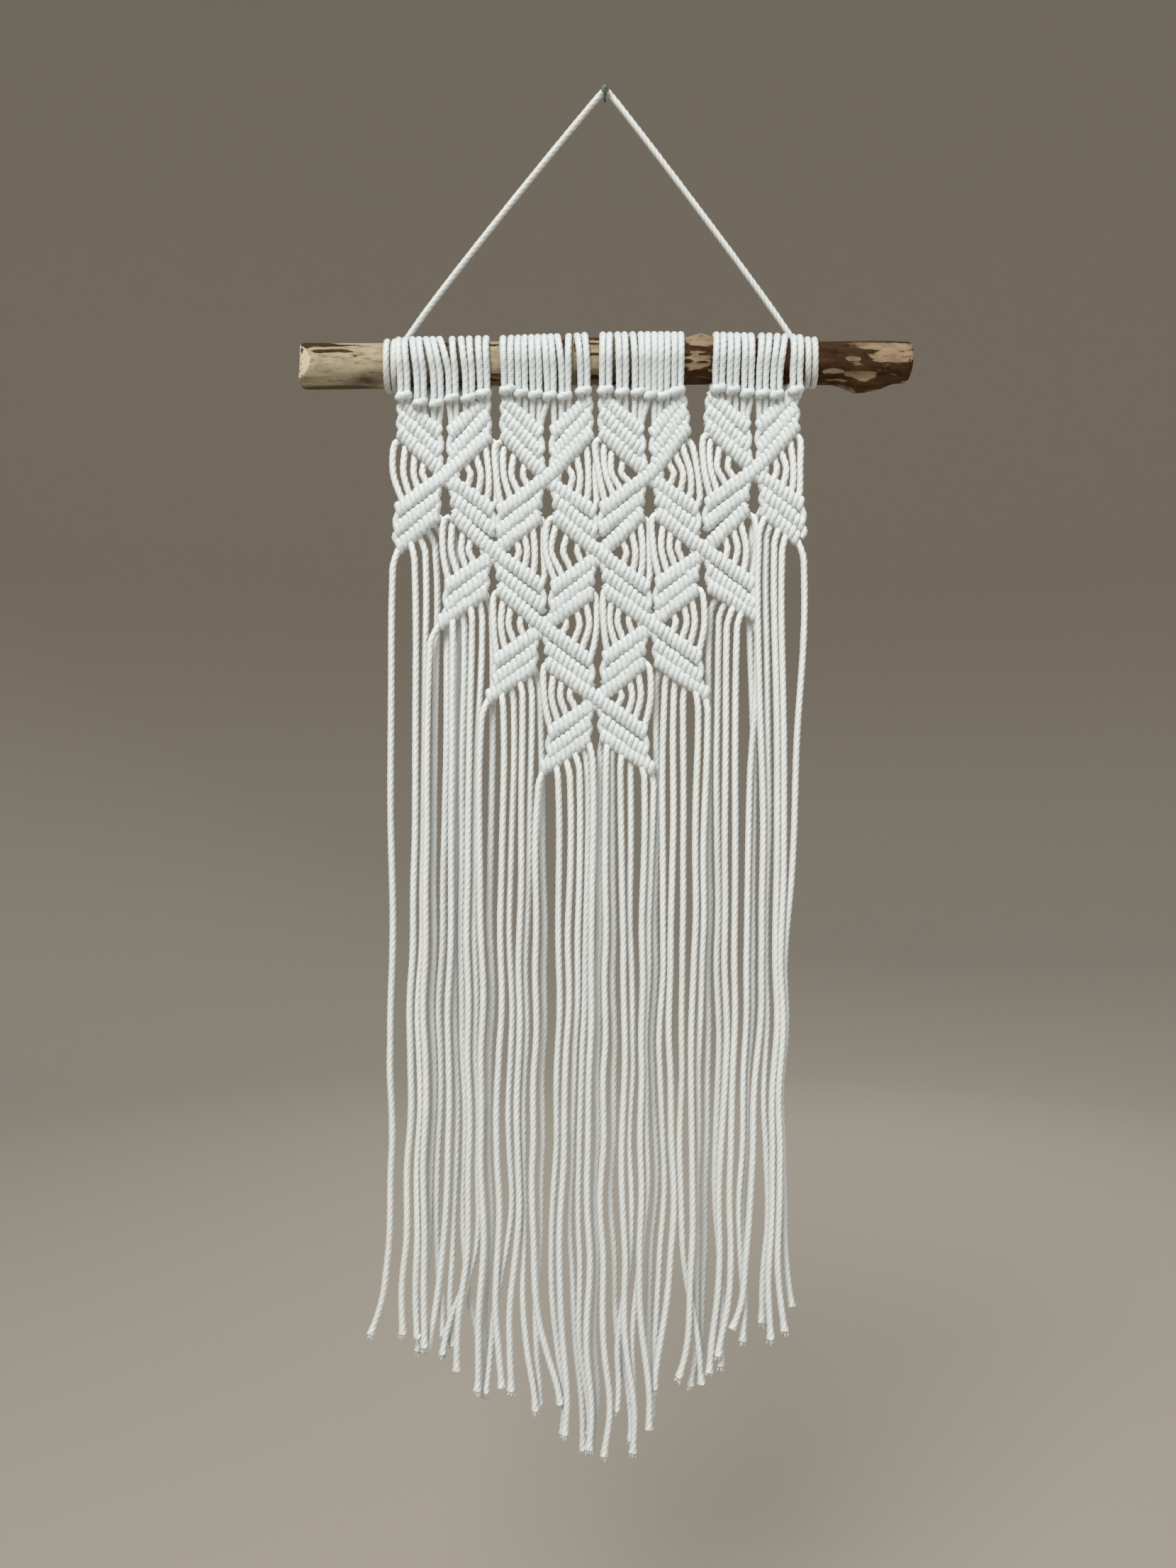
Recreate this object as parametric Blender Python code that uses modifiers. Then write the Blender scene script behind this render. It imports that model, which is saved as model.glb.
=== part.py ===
"""Macrame wall hanging: cotton strands knotted on a branch, which a cord hangs from one nail.

Sizes are in millimetres and are turned into metres where a mesh or a curve is made. +X runs to the
right along the branch, +Z up, and the wall is the plane y = 0, with the hanging in front of it, at -Y.
The origin is the point where the nail enters the wall.
"""

import math
from collections import namedtuple

import bmesh
import bpy
from mathutils import Vector

MM = 0.001
CLEARANCE = 0.3

# Nail: a shank that slopes up a little out of the wall, and a flat round head.
NAIL_LENGTH = 10.0
NAIL_RISE = 1.2
SHANK_RADIUS = 0.9
HEAD_RADIUS = 2.4
HEAD_THICKNESS = 0.9
NAIL_SIDES = 12

# Branch: a sawn stick along X, with one knob under its right end.
BRANCH_Y = -20.5
BRANCH_Z = -171.5
BRANCH_RADIUS = 14.25
BRANCH_BEVEL_RESOLUTION = 6
Station = namedtuple("Station", "x radius_share drop")
BRANCH_STATIONS = (
    Station(-185.4, 0.955, 0.3),
    Station(-184.6, 0.985, 0.3),
    Station(-160.0, 1.0, 0.2),
    Station(-136.0, 0.985, 0.0),
    Station(-100.0, 1.0, 0.0),
    Station(-40.0, 0.99, 0.0),
    Station(20.0, 0.98, 0.0),
    Station(54.0, 1.0, 0.0),
    Station(95.0, 0.985, 0.0),
    Station(131.0, 1.0, 0.0),
    Station(150.0, 1.035, 0.2),
    Station(166.0, 1.03, 0.3),
    Station(186.4, 1.0, 0.0),
    Station(187.3, 0.965, 0.0),
)
KNOB_X = 157.5
KNOB_RADIUS = 6.0
KNOB_REACH = 16.4

# Cord: the hanging cord and every strand have the same thickness.
CORD_DIAMETER = 4.0
CORD_RADIUS = CORD_DIAMETER / 2

# Hanging cord: two turns round each end of the branch, then a straight leg to the nail.
CORD_BEVEL_RESOLUTION = 2
TURN_POINTS = 12
WRAP_RADIUS = (BRANCH_RADIUS + CLEARANCE + CORD_RADIUS) / math.cos(math.pi / TURN_POINTS)
TURNS = 2
NAIL_BEND_POINTS = 5
NAIL_BEND_Y = -5.0
LEFT_TURNS_X = (-134.8, -126.0)
RIGHT_TURNS_X = (129.7, 120.2)
LEFT_LEG = ((-126.1, -3.0, -165.0), (-125.6, -2.7, -158.5), (-123.4, -2.8, -152.5))
RIGHT_LEG = ((120.1, -3.0, -166.0), (118.8, -2.6, -160.0), (115.4, -2.7, -154.6))

# Panels: strands leave the branch as lark's heads, two to a head and six heads to a panel.
PANEL_Y = -27.0
HEADS = (
    (-119.3, -110.9, -102.1, -92.7, -82.4, -72.8),
    (-58.8, -51.2, -43.5, -35.7, -26.1, -15.5),
    (0.2, 9.7, 18.9, 27.0, 34.6, 41.5),
    (68.5, 76.4, 84.2, 93.6, 102.6, 111.8),
)
HEAD_HALF_PITCH = 2.15
HEADER_STEPS = 8
HEADER_INNER = (BRANCH_RADIUS + CLEARANCE) / math.cos(math.pi / HEADER_STEPS)
HEADER_RIDGE = 18.6
HEADER_GROOVE = 16.9
HEADER_EDGE = 16.6
FOLD_Y = -31.2
FOLD_Z = -194.6
FOLD_RADIUS = 2.5
FOLD_BEVEL_RESOLUTION = 1

# Crossings: the knots where four leaves meet, as (x, z), row by row.
CROSSINGS = (
    ((-96.4, -239.6), (-35.3, -240.9), (26.2, -239.2), (89.1, -236.2)),
    ((-66.6, -285.6), (-3.2, -286.4), (59.4, -284.3)),
    ((-37.5, -330.3), (27.7, -328.6)),
    ((-5.0, -373.3),),
)
CROSSING_HALF_SIZE = (5.6, 4.3, 5.8)
CROSSING_SEGMENTS = 6
CROSSING_RINGS = 4

# Leaves: three clove-hitch bars side by side, a ridge each. Heights are from the crossing's centre,
# at the end by the crossing and at the far end.
Leaf = namedtuple("Leaf", "near_x near_heights far_x far_heights")
UPPER_LEAF = Leaf(0.9, (28.0, 18.5, 5.0), 27.4, (43.0, 35.0, 25.5))
LOWER_LEAF = Leaf(2.1, (-3.5, -11.0, -19.5), 29.6, (-20.2, -29.6, -41.0))
BAR_HALF_WIDTH = 4.3
RIDGE_DEPTH = 3.6
GROOVE_DEPTH = 1.7
BACK_DEPTH = 3.4

# Strands are four-sided here, a corner to the front, and stand apart but for their ends, which are
# fused into the knots. The radius is from the middle to a corner.
STRAND_RADIUS = 1.9

# Strands round the eye beside each crossing: (x, height) at the top, at the bulge and at the foot.
EYES = (
    ((28.2, 25.5), (29.9, 5.0), (26.6, -18.0)),
    ((22.8, 21.5), (24.0, 4.5), (21.5, -14.8)),
    ((17.4, 17.0), (18.6, 4.0), (16.6, -11.8)),
    ((12.6, 12.5), (13.9, 3.2), (12.0, -8.8)),
)
EYE_MOST_INSIDE = 28.6
EYE_FREE_BULGE = 1.6

# Fringe: one row for each strand, from the leaf's free tip inwards. knee_x is where it straightens
# out below its knot and hem_x is where it is at HEM_Z, each with the layer that it hangs in there.
Strand = namedtuple("Strand", "knee_x knee_layer hem_x hem_layer tip_x tip_z")
HEM_Z = -684.0
KNEE_DROP = 15.0
BEND_SHARE = 0.6
LAYER_Y = {"front": -2.3, "middle": 2.2, "back": 6.7, "rear": 11.2}
FRINGE = {
    (0, 0, -1): (
        Strand(-128.0, "front", -130.0, "front", -141.0, -753.0),
        Strand(-114.0, "front", -119.0, "front", -123.0, -753.0),
        Strand(-107.5, "middle", -113.0, "middle", -112.0, -756.0),
        Strand(-101.5, "back", -107.6, "back", -113.0, -767.0),
        Strand(-95.5, "back", -103.4, "back", -96.0, -758.0),
        Strand(-90.0, "back", -91.0, "back", -89.0, -764.0),
    ),
    (1, 0, -1): (
        Strand(-106.0, "front", -110.0, "front", -109.0, -761.0),
        Strand(-91.5, "front", -96.0, "middle", -108.0, -764.0),
        Strand(-84.5, "middle", -87.0, "rear", -77.0, -763.0),
        Strand(-79.5, "front", -82.0, "front", -87.0, -775.0),
        Strand(-74.0, "middle", -76.0, "middle", -96.0, -767.0),
        Strand(-68.0, "back", -69.0, "back", -76.0, -794.0),
    ),
    (2, 0, -1): (
        Strand(-75.0, "front", -73.0, "front", -79.0, -787.0),
        Strand(-61.0, "front", -64.0, "front", -64.0, -785.0),
        Strand(-54.7, "middle", -59.0, "middle", -75.0, -790.0),
        Strand(-49.0, "front", -54.0, "front", -59.0, -787.0),
        Strand(-44.0, "middle", -50.0, "middle", -44.0, -801.0),
        Strand(-39.0, "back", -39.0, "back", -42.0, -800.0),
    ),
    (3, 0, -1): (
        Strand(-41.5, "front", -44.0, "front", -32.0, -795.0),
        Strand(-28.0, "front", -32.0, "middle", -28.0, -815.0),
        Strand(-21.0, "front", -27.0, "front", -27.0, -813.0),
        Strand(-15.0, "front", -21.0, "back", -14.0, -827.0),
        Strand(-10.4, "middle", -16.0, "middle", -11.0, -815.0),
        Strand(-7.4, "front", -11.0, "front", -11.0, -822.0),
    ),
    (3, 0, 1): (
        Strand(29.4, "middle", 22.0, "middle", 13.0, -796.0),
        Strand(24.0, "front", 20.0, "front", 26.0, -810.0),
        Strand(15.0, "middle", 15.0, "middle", 3.0, -801.0),
        Strand(8.5, "front", 10.0, "front", 15.0, -824.0),
        Strand(3.2, "middle", 4.0, "back", 14.0, -821.0),
        Strand(0.0, "front", -2.0, "front", -1.0, -826.0),
        Strand(-3.8, "back", -6.0, "back", -9.0, -824.0),
    ),
    (2, 1, 1): (
        Strand(61.5, "front", 55.0, "back", 50.0, -788.0),
        Strand(55.5, "front", 52.0, "front", 44.0, -779.0),
        Strand(46.4, "middle", 45.0, "middle", 56.0, -785.0),
        Strand(40.6, "middle", 40.0, "middle", 30.0, -788.0),
        Strand(35.0, "middle", 34.0, "back", 28.0, -807.0),
        Strand(30.0, "back", 29.0, "rear", 27.0, -805.0),
    ),
    (1, 2, 1): (
        Strand(91.7, "middle", 81.0, "middle", 82.0, -759.0),
        Strand(77.7, "front", 76.0, "front", 69.0, -766.0),
        Strand(72.0, "front", 70.0, "front", 63.0, -776.0),
        Strand(67.4, "middle", 67.0, "middle", 71.0, -774.0),
        Strand(62.0, "back", 61.0, "rear", 56.0, -781.0),
    ),
    (0, 3, 1): (
        Strand(119.0, "front", 106.0, "back", 113.0, -740.0),
        Strand(105.0, "front", 104.0, "front", 108.0, -751.0),
        Strand(100.0, "front", 98.0, "front", 98.0, -756.0),
        Strand(95.5, "middle", 97.0, "middle", 93.0, -748.0),
        Strand(91.0, "front", 88.0, "front", 75.0, -750.0),
        Strand(87.4, "back", 83.0, "back", 83.0, -760.0),
    ),
}
TIP_EXIT = 29.0
HITCH_EXITS = (24.5, 19.5, 14.5, 9.5, 6.0, 3.6)


def empty_scene():
    """Removes what the scene holds, and any collection left of it."""
    for obj in list(bpy.data.objects):
        bpy.data.objects.remove(obj, do_unlink=True)
    for group in list(bpy.data.collections):
        bpy.data.collections.remove(group)


def collection(name):
    group = bpy.data.collections.new(name)
    bpy.context.scene.collection.children.link(group)
    return group


def material(name, colour, roughness, metallic=0.0):
    made = bpy.data.materials.new(name)
    made.use_nodes = True
    shader = made.node_tree.nodes["Principled BSDF"]
    shader.inputs["Base Color"].default_value = (*colour, 1.0)
    shader.inputs["Roughness"].default_value = roughness
    shader.inputs["Metallic"].default_value = metallic
    return made


def mesh_object(name, shape, group):
    """A mesh object from a bmesh in metres, which it frees."""
    bmesh.ops.recalc_face_normals(shape, faces=shape.faces)
    mesh = bpy.data.meshes.new(name)
    shape.to_mesh(mesh)
    shape.free()
    obj = bpy.data.objects.new(name, mesh)
    group.objects.link(obj)
    return obj


def tubes(name, paths, radius, bevel_resolution, group, shares=None):
    """One curve object with a capped tube along each path of (x, y, z) in millimetres."""
    curve = bpy.data.curves.new(name, "CURVE")
    curve.dimensions = "3D"
    curve.bevel_depth = radius * MM
    curve.bevel_resolution = bevel_resolution
    curve.use_fill_caps = True
    for path in paths:
        spline = curve.splines.new("POLY")
        spline.points.add(len(path) - 1)
        for i, (point, place) in enumerate(zip(spline.points, path)):
            point.co = (*(Vector(place) * MM), 1.0)
            point.radius = shares[i] if shares else 1.0
    obj = bpy.data.objects.new(name, curve)
    group.objects.link(obj)
    return obj


def as_mesh(curve_object, group):
    """The curve object made a mesh with its caps welded, under the same name."""
    bpy.context.view_layer.update()
    evaluated = curve_object.evaluated_get(bpy.context.evaluated_depsgraph_get())
    shape = bmesh.new()
    shape.from_mesh(bpy.data.meshes.new_from_object(evaluated))
    shape.transform(curve_object.matrix_world)
    bmesh.ops.remove_doubles(shape, verts=shape.verts, dist=1e-6)
    name = curve_object.name
    bpy.data.objects.remove(curve_object, do_unlink=True)
    return mesh_object(name, shape, group)


def union(obj, others, solver="EXACT"):
    """Joins the others to the object by Boolean modifiers, and hides them as cutters are."""
    for other in others:
        joint = obj.modifiers.new("Union " + other.name, "BOOLEAN")
        joint.operation = "UNION"
        joint.solver = solver
        joint.object = other
        other.hide_render = True
        other.display_type = "WIRE"


def between(start, end, share):
    return start + (end - start) * share


# ---------------------------------------------------------------------------------- nail and branch


def nail(group, paint):
    """The nail as a turned profile, its back end flat on the wall's plane."""
    outline = (
        (0.0, 0.0),
        (SHANK_RADIUS, 0.0),
        (SHANK_RADIUS, NAIL_LENGTH - HEAD_THICKNESS),
        (HEAD_RADIUS, NAIL_LENGTH - HEAD_THICKNESS),
        (HEAD_RADIUS, NAIL_LENGTH - 0.3 * HEAD_THICKNESS),
        (0.7 * HEAD_RADIUS, NAIL_LENGTH),
        (0.0, NAIL_LENGTH),
    )
    mesh = bpy.data.meshes.new("nail")
    points = [(radius * MM, 0.0, along * MM) for radius, along in outline]
    mesh.from_pydata(points, [(i, i + 1) for i in range(len(points) - 1)], [])
    obj = bpy.data.objects.new("nail", mesh)
    turn = obj.modifiers.new("Turn", "SCREW")
    turn.axis = "Z"
    turn.steps = turn.render_steps = NAIL_SIDES
    turn.use_merge_vertices = True
    turn.merge_threshold = 1e-5
    turn.use_normal_calculate = True
    # The profile's own +Z turns to -Y, tipped up by the nail's rise.
    obj.rotation_euler = (math.pi / 2 - math.atan2(NAIL_RISE, NAIL_LENGTH), 0.0, 0.0)
    obj.data.materials.append(paint)
    group.objects.link(obj)
    return obj


def branch(group, cutters, paint):
    """The branch as one tube of changing radius, with the knob joined to its underside."""
    path = [(at.x, BRANCH_Y, BRANCH_Z - at.drop) for at in BRANCH_STATIONS]
    shares = [at.radius_share for at in BRANCH_STATIONS]
    stick = tubes("branch", [path], BRANCH_RADIUS, BRANCH_BEVEL_RESOLUTION, group, shares)
    stick = as_mesh(stick, group)
    shape = bmesh.new()
    bmesh.ops.create_uvsphere(shape, u_segments=10, v_segments=6, radius=KNOB_RADIUS * MM)
    place = Vector((KNOB_X, BRANCH_Y, BRANCH_Z - KNOB_REACH + KNOB_RADIUS * 0.6))
    bmesh.ops.scale(shape, verts=shape.verts, vec=(1.6, 1.0, 0.6))
    bmesh.ops.translate(shape, verts=shape.verts, vec=place * MM)
    knob = mesh_object("branch_knob", shape, cutters)
    union(stick, [knob])
    stick.data.materials.append(paint)
    return stick


# ------------------------------------------------------------------------------------- hanging cord


def turns_round_branch(start_x, end_x):
    """Points of the turns round the branch, from the hidden tail up the back and over to the front."""
    count = TURNS * TURN_POINTS
    points = []
    for i in range(count + 1):
        angle = 2 * math.pi * i / TURN_POINTS
        x = between(start_x, end_x, i / count)
        y = BRANCH_Y + WRAP_RADIUS * math.cos(angle)
        z = BRANCH_Z + WRAP_RADIUS * math.sin(angle)
        points.append((x, y, z))
    return points


def nail_bend():
    """Points of the cord's bend over the nail's shank, from left to right."""
    radius = SHANK_RADIUS + CLEARANCE + CORD_RADIUS + 0.2
    centre_z = NAIL_RISE * -NAIL_BEND_Y / NAIL_LENGTH
    points = []
    for i in range(NAIL_BEND_POINTS):
        angle = math.radians(between(145, 35, i / (NAIL_BEND_POINTS - 1)))
        points.append((radius * math.cos(angle), NAIL_BEND_Y, centre_z + radius * math.sin(angle)))
    return points


def hanging_cord(group, paint):
    left = turns_round_branch(*LEFT_TURNS_X) + list(LEFT_LEG)
    right = turns_round_branch(*RIGHT_TURNS_X) + list(RIGHT_LEG)
    path = left + nail_bend() + right[::-1]
    cord = tubes("hanger_cord", [path], CORD_RADIUS, CORD_BEVEL_RESOLUTION, group)
    cord.data.materials.append(paint)
    return cord


# ------------------------------------------------------------------------------------------ macrame


def header_rings(group, paint):
    """The four panels' lark's heads as ridged rings round the branch, a ridge to each head."""
    points = []
    edges = []
    for heads in HEADS:
        outline = [(heads[0] - 2 * HEAD_HALF_PITCH, HEADER_EDGE)]
        for i, x in enumerate(heads):
            if i:
                outline.append(((heads[i - 1] + x) / 2, HEADER_GROOVE))
            outline.append((x, HEADER_RIDGE))
        outline.append((heads[-1] + 2 * HEAD_HALF_PITCH, HEADER_EDGE))
        outline.append((heads[-1] + 2 * HEAD_HALF_PITCH, HEADER_INNER))
        outline.append((heads[0] - 2 * HEAD_HALF_PITCH, HEADER_INNER))
        first = len(points)
        points += [(x * MM, 0.0, radius * MM) for x, radius in outline]
        edges += [(first + i, first + (i + 1) % len(outline)) for i in range(len(outline))]
    mesh = bpy.data.meshes.new("macrame")
    mesh.from_pydata(points, edges, [])
    obj = bpy.data.objects.new("macrame", mesh)
    obj.location = (0.0, BRANCH_Y * MM, BRANCH_Z * MM)
    turn = obj.modifiers.new("Turn", "SCREW")
    turn.axis = "X"
    turn.steps = turn.render_steps = HEADER_STEPS
    turn.use_merge_vertices = True
    turn.merge_threshold = 1e-5
    turn.use_normal_calculate = True
    obj.data.materials.append(paint)
    group.objects.link(obj)
    return obj


def fold_bars(cutters):
    """The folded loops under the branch: one lumpy bar across each panel."""
    bars = []
    for number, heads in enumerate(HEADS):
        path = []
        shares = []
        for i, x in enumerate(heads):
            lift = 1.4 * math.cos(1.3 * i + number)
            ends = (-1, 1) if i in (0, len(heads) - 1) else (0,)
            for side in ends:
                path.append((x + side * HEAD_HALF_PITCH, FOLD_Y, FOLD_Z + lift))
                shares.append(1.0)
            if i < len(heads) - 1:
                middle = (x + heads[i + 1]) / 2
                path.append((middle, FOLD_Y + 0.8, FOLD_Z + 0.5))
                shares.append(0.75)
        bar = tubes(f"fold_{number}", [path], FOLD_RADIUS, FOLD_BEVEL_RESOLUTION, cutters, shares)
        bars.append(as_mesh(bar, cutters))
    return bars


def section(leaf, share):
    """A leaf's outline across its three bars, as (height, depth) round the section."""
    heights = [between(a, b, share) for a, b in zip(leaf.near_heights, leaf.far_heights)]
    top = heights[0] + BAR_HALF_WIDTH
    bottom = heights[2] - BAR_HALF_WIDTH
    grooves = [(heights[0] + heights[1]) / 2, (heights[1] + heights[2]) / 2]
    front = [
        (heights[0], -RIDGE_DEPTH),
        (grooves[0], -GROOVE_DEPTH),
        (heights[1], -RIDGE_DEPTH),
        (grooves[1], -GROOVE_DEPTH),
        (heights[2], -RIDGE_DEPTH),
    ]
    back = [(heights[2], BACK_DEPTH), (heights[0], BACK_DEPTH)]
    return [(top, 0.0)] + front + [(bottom, 0.0)] + back


def leaves(cutters):
    """Every leaf of knots as a loft from its crossing to its far end, all in one mesh."""
    shape = bmesh.new()
    for row, crossings in enumerate(CROSSINGS):
        for x, z in crossings:
            for side in (-1, 1):
                if row == 0:
                    loft_leaf(shape, UPPER_LEAF, x, z, side)
                loft_leaf(shape, LOWER_LEAF, x, z, side)
    return mesh_object("leaves", shape, cutters)


def loft_leaf(shape, leaf, x, z, side):
    rings = []
    for share in (0.0, 1.0):
        across = x + side * between(leaf.near_x, leaf.far_x, share)
        ring = []
        for height, depth in section(leaf, share):
            place = Vector((across, PANEL_Y + depth, z + height))
            ring.append(shape.verts.new(place * MM))
        rings.append(ring)
    near, far = rings
    for i in range(len(near)):
        j = (i + 1) % len(near)
        shape.faces.new((near[i], near[j], far[j], far[i]))
    shape.faces.new(near)
    shape.faces.new(far)


def crossing_knots(cutters):
    """A rounded knot at each crossing, all in one mesh."""
    shape = bmesh.new()
    for crossings in CROSSINGS:
        for x, z in crossings:
            made = bmesh.ops.create_uvsphere(
                shape, u_segments=CROSSING_SEGMENTS, v_segments=CROSSING_RINGS, radius=MM
            )
            bmesh.ops.scale(shape, verts=made["verts"], vec=CROSSING_HALF_SIZE)
            bmesh.ops.translate(shape, verts=made["verts"], vec=Vector((x, PANEL_Y, z)) * MM)
    return mesh_object("crossing_knots", shape, cutters)


def bar_height(leaf, bar, distance):
    """Height of a leaf's bar, from its crossing's centre, at this distance across."""
    share = (distance - leaf.near_x) / (leaf.far_x - leaf.near_x)
    return between(leaf.near_heights[bar], leaf.far_heights[bar], share)


def top_strands():
    """Two strands from each lark's head down into the first bar under it."""
    paths = []
    for heads, (x, z) in zip(HEADS, CROSSINGS[0]):
        for head in heads:
            for side in (-1, 1):
                across = head + side * HEAD_HALF_PITCH
                reach = min(max(abs(across - x), UPPER_LEAF.near_x + 1.2), UPPER_LEAF.far_x - 1.2)
                foot = x + math.copysign(reach, across - x)
                foot_z = z + bar_height(UPPER_LEAF, 0, reach)
                paths.append(((across, PANEL_Y, -187.0), (foot, PANEL_Y, foot_z)))
    return paths


def eye_strands():
    """The strands that bulge round the eye on each side of a crossing."""
    paths = []
    for row, crossings in enumerate(CROSSINGS):
        for column, (x, z) in enumerate(crossings):
            for side in (-1, 1):
                free = (side < 0 and column == 0) or (side > 0 and column == len(crossings) - 1)
                for number, eye in enumerate(EYES):
                    path = []
                    for i, (across, height) in enumerate(eye):
                        if number == 0 and i == 1 and free and row == 0:
                            across += EYE_FREE_BULGE
                        elif number == 0:
                            across = min(across, EYE_MOST_INSIDE)
                        path.append((x + side * across, PANEL_Y, z + height))
                    paths.append(path)
    return paths


def fringe_strands():
    """The hanging strands, from their cut tips up to the third bar of each free leaf."""
    paths = []
    for (row, column, side), strands in FRINGE.items():
        x, z = CROSSINGS[row][column]
        for number, strand in enumerate(strands):
            reach = HITCH_EXITS[number - 1] if number else TIP_EXIT
            root_x = x + side * reach
            root_z = z + bar_height(LOWER_LEAF, 2, reach)
            knee_y = PANEL_Y + LAYER_Y[strand.knee_layer]
            hem_y = PANEL_Y + LAYER_Y[strand.hem_layer]
            bend_x = between(root_x, strand.knee_x, BEND_SHARE)
            bend_y = between(PANEL_Y, knee_y, 1.3 * BEND_SHARE)
            bend_z = root_z - BEND_SHARE * KNEE_DROP
            paths.append(
                (
                    (strand.tip_x, hem_y, strand.tip_z),
                    (strand.hem_x, hem_y, HEM_Z),
                    (strand.knee_x, knee_y, root_z - KNEE_DROP),
                    (bend_x, bend_y, bend_z),
                    (root_x, PANEL_Y, root_z),
                )
            )
    return paths


def macrame(group, cutters, paint):
    """The whole net as one solid: heads, knots and strands joined by unions."""
    net = header_rings(group, paint)
    solids = fold_bars(cutters)
    solids += [leaves(cutters), crossing_knots(cutters)]
    for name, paths in (
        ("top_strands", top_strands()),
        ("eye_strands", eye_strands()),
        ("fringe_strands", fringe_strands()),
    ):
        strands = tubes(name, paths, STRAND_RADIUS, 0, cutters)
        solids.append(as_mesh(strands, cutters))
    union(net, solids, "MANIFOLD")
    return net


def main():
    empty_scene()
    hanging = collection("macrame_wall_hanging")
    cutters = collection("cutters")
    cotton = material("cotton", (0.80, 0.80, 0.77), 0.95)
    cord = material("hanger_cotton", (0.80, 0.79, 0.74), 0.95)
    wood = material("branch_wood", (0.45, 0.28, 0.15), 0.6)
    steel = material("nail_steel", (0.23, 0.25, 0.23), 0.5, 0.8)
    nail(hanging, steel)
    branch(hanging, cutters, wood)
    hanging_cord(hanging, cord)
    macrame(hanging, cutters, cotton)


main()
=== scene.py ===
"""Macrame wall hanging: the looks of its cotton ropes, knots, branch, hanging cord and nail.

Sizes are in millimetres in the tables and classes, and become metres where a curve or a mesh is made.
+X runs to the right along the branch, +Z up, and the wall is the plane y = 0, with the hanging at -Y.
The origin is the point where the nail enters the wall.
"""

import logging
import math
import random
from dataclasses import dataclass, field
from enum import Enum
from typing import Callable, Iterable, NamedTuple, Optional, Sequence, Union

import bmesh
import bpy
import numpy as np
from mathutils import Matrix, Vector, noise


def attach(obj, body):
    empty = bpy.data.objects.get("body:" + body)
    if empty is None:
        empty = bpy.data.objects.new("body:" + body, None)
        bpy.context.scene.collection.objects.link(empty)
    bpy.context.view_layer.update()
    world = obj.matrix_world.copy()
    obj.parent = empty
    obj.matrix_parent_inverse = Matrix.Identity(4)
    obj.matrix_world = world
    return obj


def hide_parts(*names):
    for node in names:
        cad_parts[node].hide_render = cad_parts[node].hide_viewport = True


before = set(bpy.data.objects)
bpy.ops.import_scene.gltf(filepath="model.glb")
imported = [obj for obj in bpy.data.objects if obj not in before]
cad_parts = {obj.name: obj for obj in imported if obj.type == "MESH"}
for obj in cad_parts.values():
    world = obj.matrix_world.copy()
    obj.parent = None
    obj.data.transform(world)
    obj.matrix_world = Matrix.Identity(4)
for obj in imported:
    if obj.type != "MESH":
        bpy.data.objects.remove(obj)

LOG = logging.getLogger("macrame")
MM = 0.001
FULL_TURN = 2.0 * math.pi
ROOT = "root"

# A point is x, y and z, and may carry the rope's relative thickness as a fourth number.
Point = tuple[float, ...]
Path = list[Point]
Colour = tuple[float, float, float]
Shape = bmesh.types.BMesh
Ring = list[bmesh.types.BMVert]
Object = bpy.types.Object
Material = bpy.types.Material
Tree = bpy.types.NodeTree
Node = bpy.types.Node
Socket = bpy.types.NodeSocket
# What a node's input takes: another node's output or a plain value.
Value = Union[Socket, float, tuple]

BRANCH_Y = -20.5
BRANCH_Z = -171.5
BRANCH_RADIUS = 14.25
HEAD_STAND = 1.5
CORD_STAND = 0.65
PANEL_Y = -27.0
FLOOR_Z = -1050.0


class Slot(Enum):
    """Material slots of the part's record."""

    COTTON = "cotton"
    HANGER = "hanger_cotton"
    WOOD = "branch_wood"
    STEEL = "nail_steel"


class Hand(Enum):
    """Hand of a helix of wraps: right-handed wraps climb to the right across the front."""

    RIGHT = 1.0
    LEFT = -1.0


class Layer(Enum):
    """Depth at which a fringe strand hangs, from the panel's plane towards the wall."""

    FRONT = -2.3
    MIDDLE = 2.2
    BACK = 6.7
    REAR = 11.2


# ---- small tools


def between(start: float, end: float, share: float) -> float:
    """Returns the value at this share of the way from start to end."""
    return start + (end - start) * share


def smooth(share: float) -> float:
    """Returns the share eased at both ends, and held within 0 and 1."""
    held = min(1.0, max(0.0, share))
    return held * held * (3.0 - 2.0 * held)


def smooth_path(points: Sequence[Point], step: float = 2.0) -> Path:
    """Draws one smooth curve, a centripetal Catmull-Rom spline, through the points.

    Args:
        points: places in millimetres, in order, however unevenly spaced.
        step: greatest distance between two points of the result.

    Returns:
        The curve's points, with the first and the last place kept.
    """
    places = [np.array(point, dtype=float) for point in points]
    places = [places[0] * 2 - places[1]] + places + [places[-1] * 2 - places[-2]]
    drawn: Path = []
    for four in zip(places, places[1:], places[2:], places[3:]):
        times = [0.0]
        for first, second in zip(four, four[1:]):
            times.append(times[-1] + max(1e-3, math.sqrt(float(np.linalg.norm((second - first)[:3])))))
        length = float(np.linalg.norm((four[2] - four[1])[:3]))
        count = max(1, math.ceil(length / step))
        for i in range(count):
            at = between(times[1], times[2], i / count)
            drawn.append(tuple(spline_place(four, times, at)))
    drawn.append(tuple(places[-2]))
    return drawn


def spline_place(four: Sequence[np.ndarray], times: Sequence[float], at: float) -> np.ndarray:
    """Evaluates one stretch of the spline.

    Args:
        four: the four places that shape the stretch.
        times: the spline's parameter at each of them.
        at: the parameter wanted, between the second and the third.

    Returns:
        The place on the curve.
    """
    level = list(four)
    for spans in (((0, 1), (1, 2), (2, 3)), ((0, 2), (1, 3)), ((1, 2),)):
        level = [
            (level[i] * (times[end] - at) + level[i + 1] * (at - times[start])) / (times[end] - times[start])
            for i, (start, end) in enumerate(spans)
        ]
    return level[0]


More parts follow.
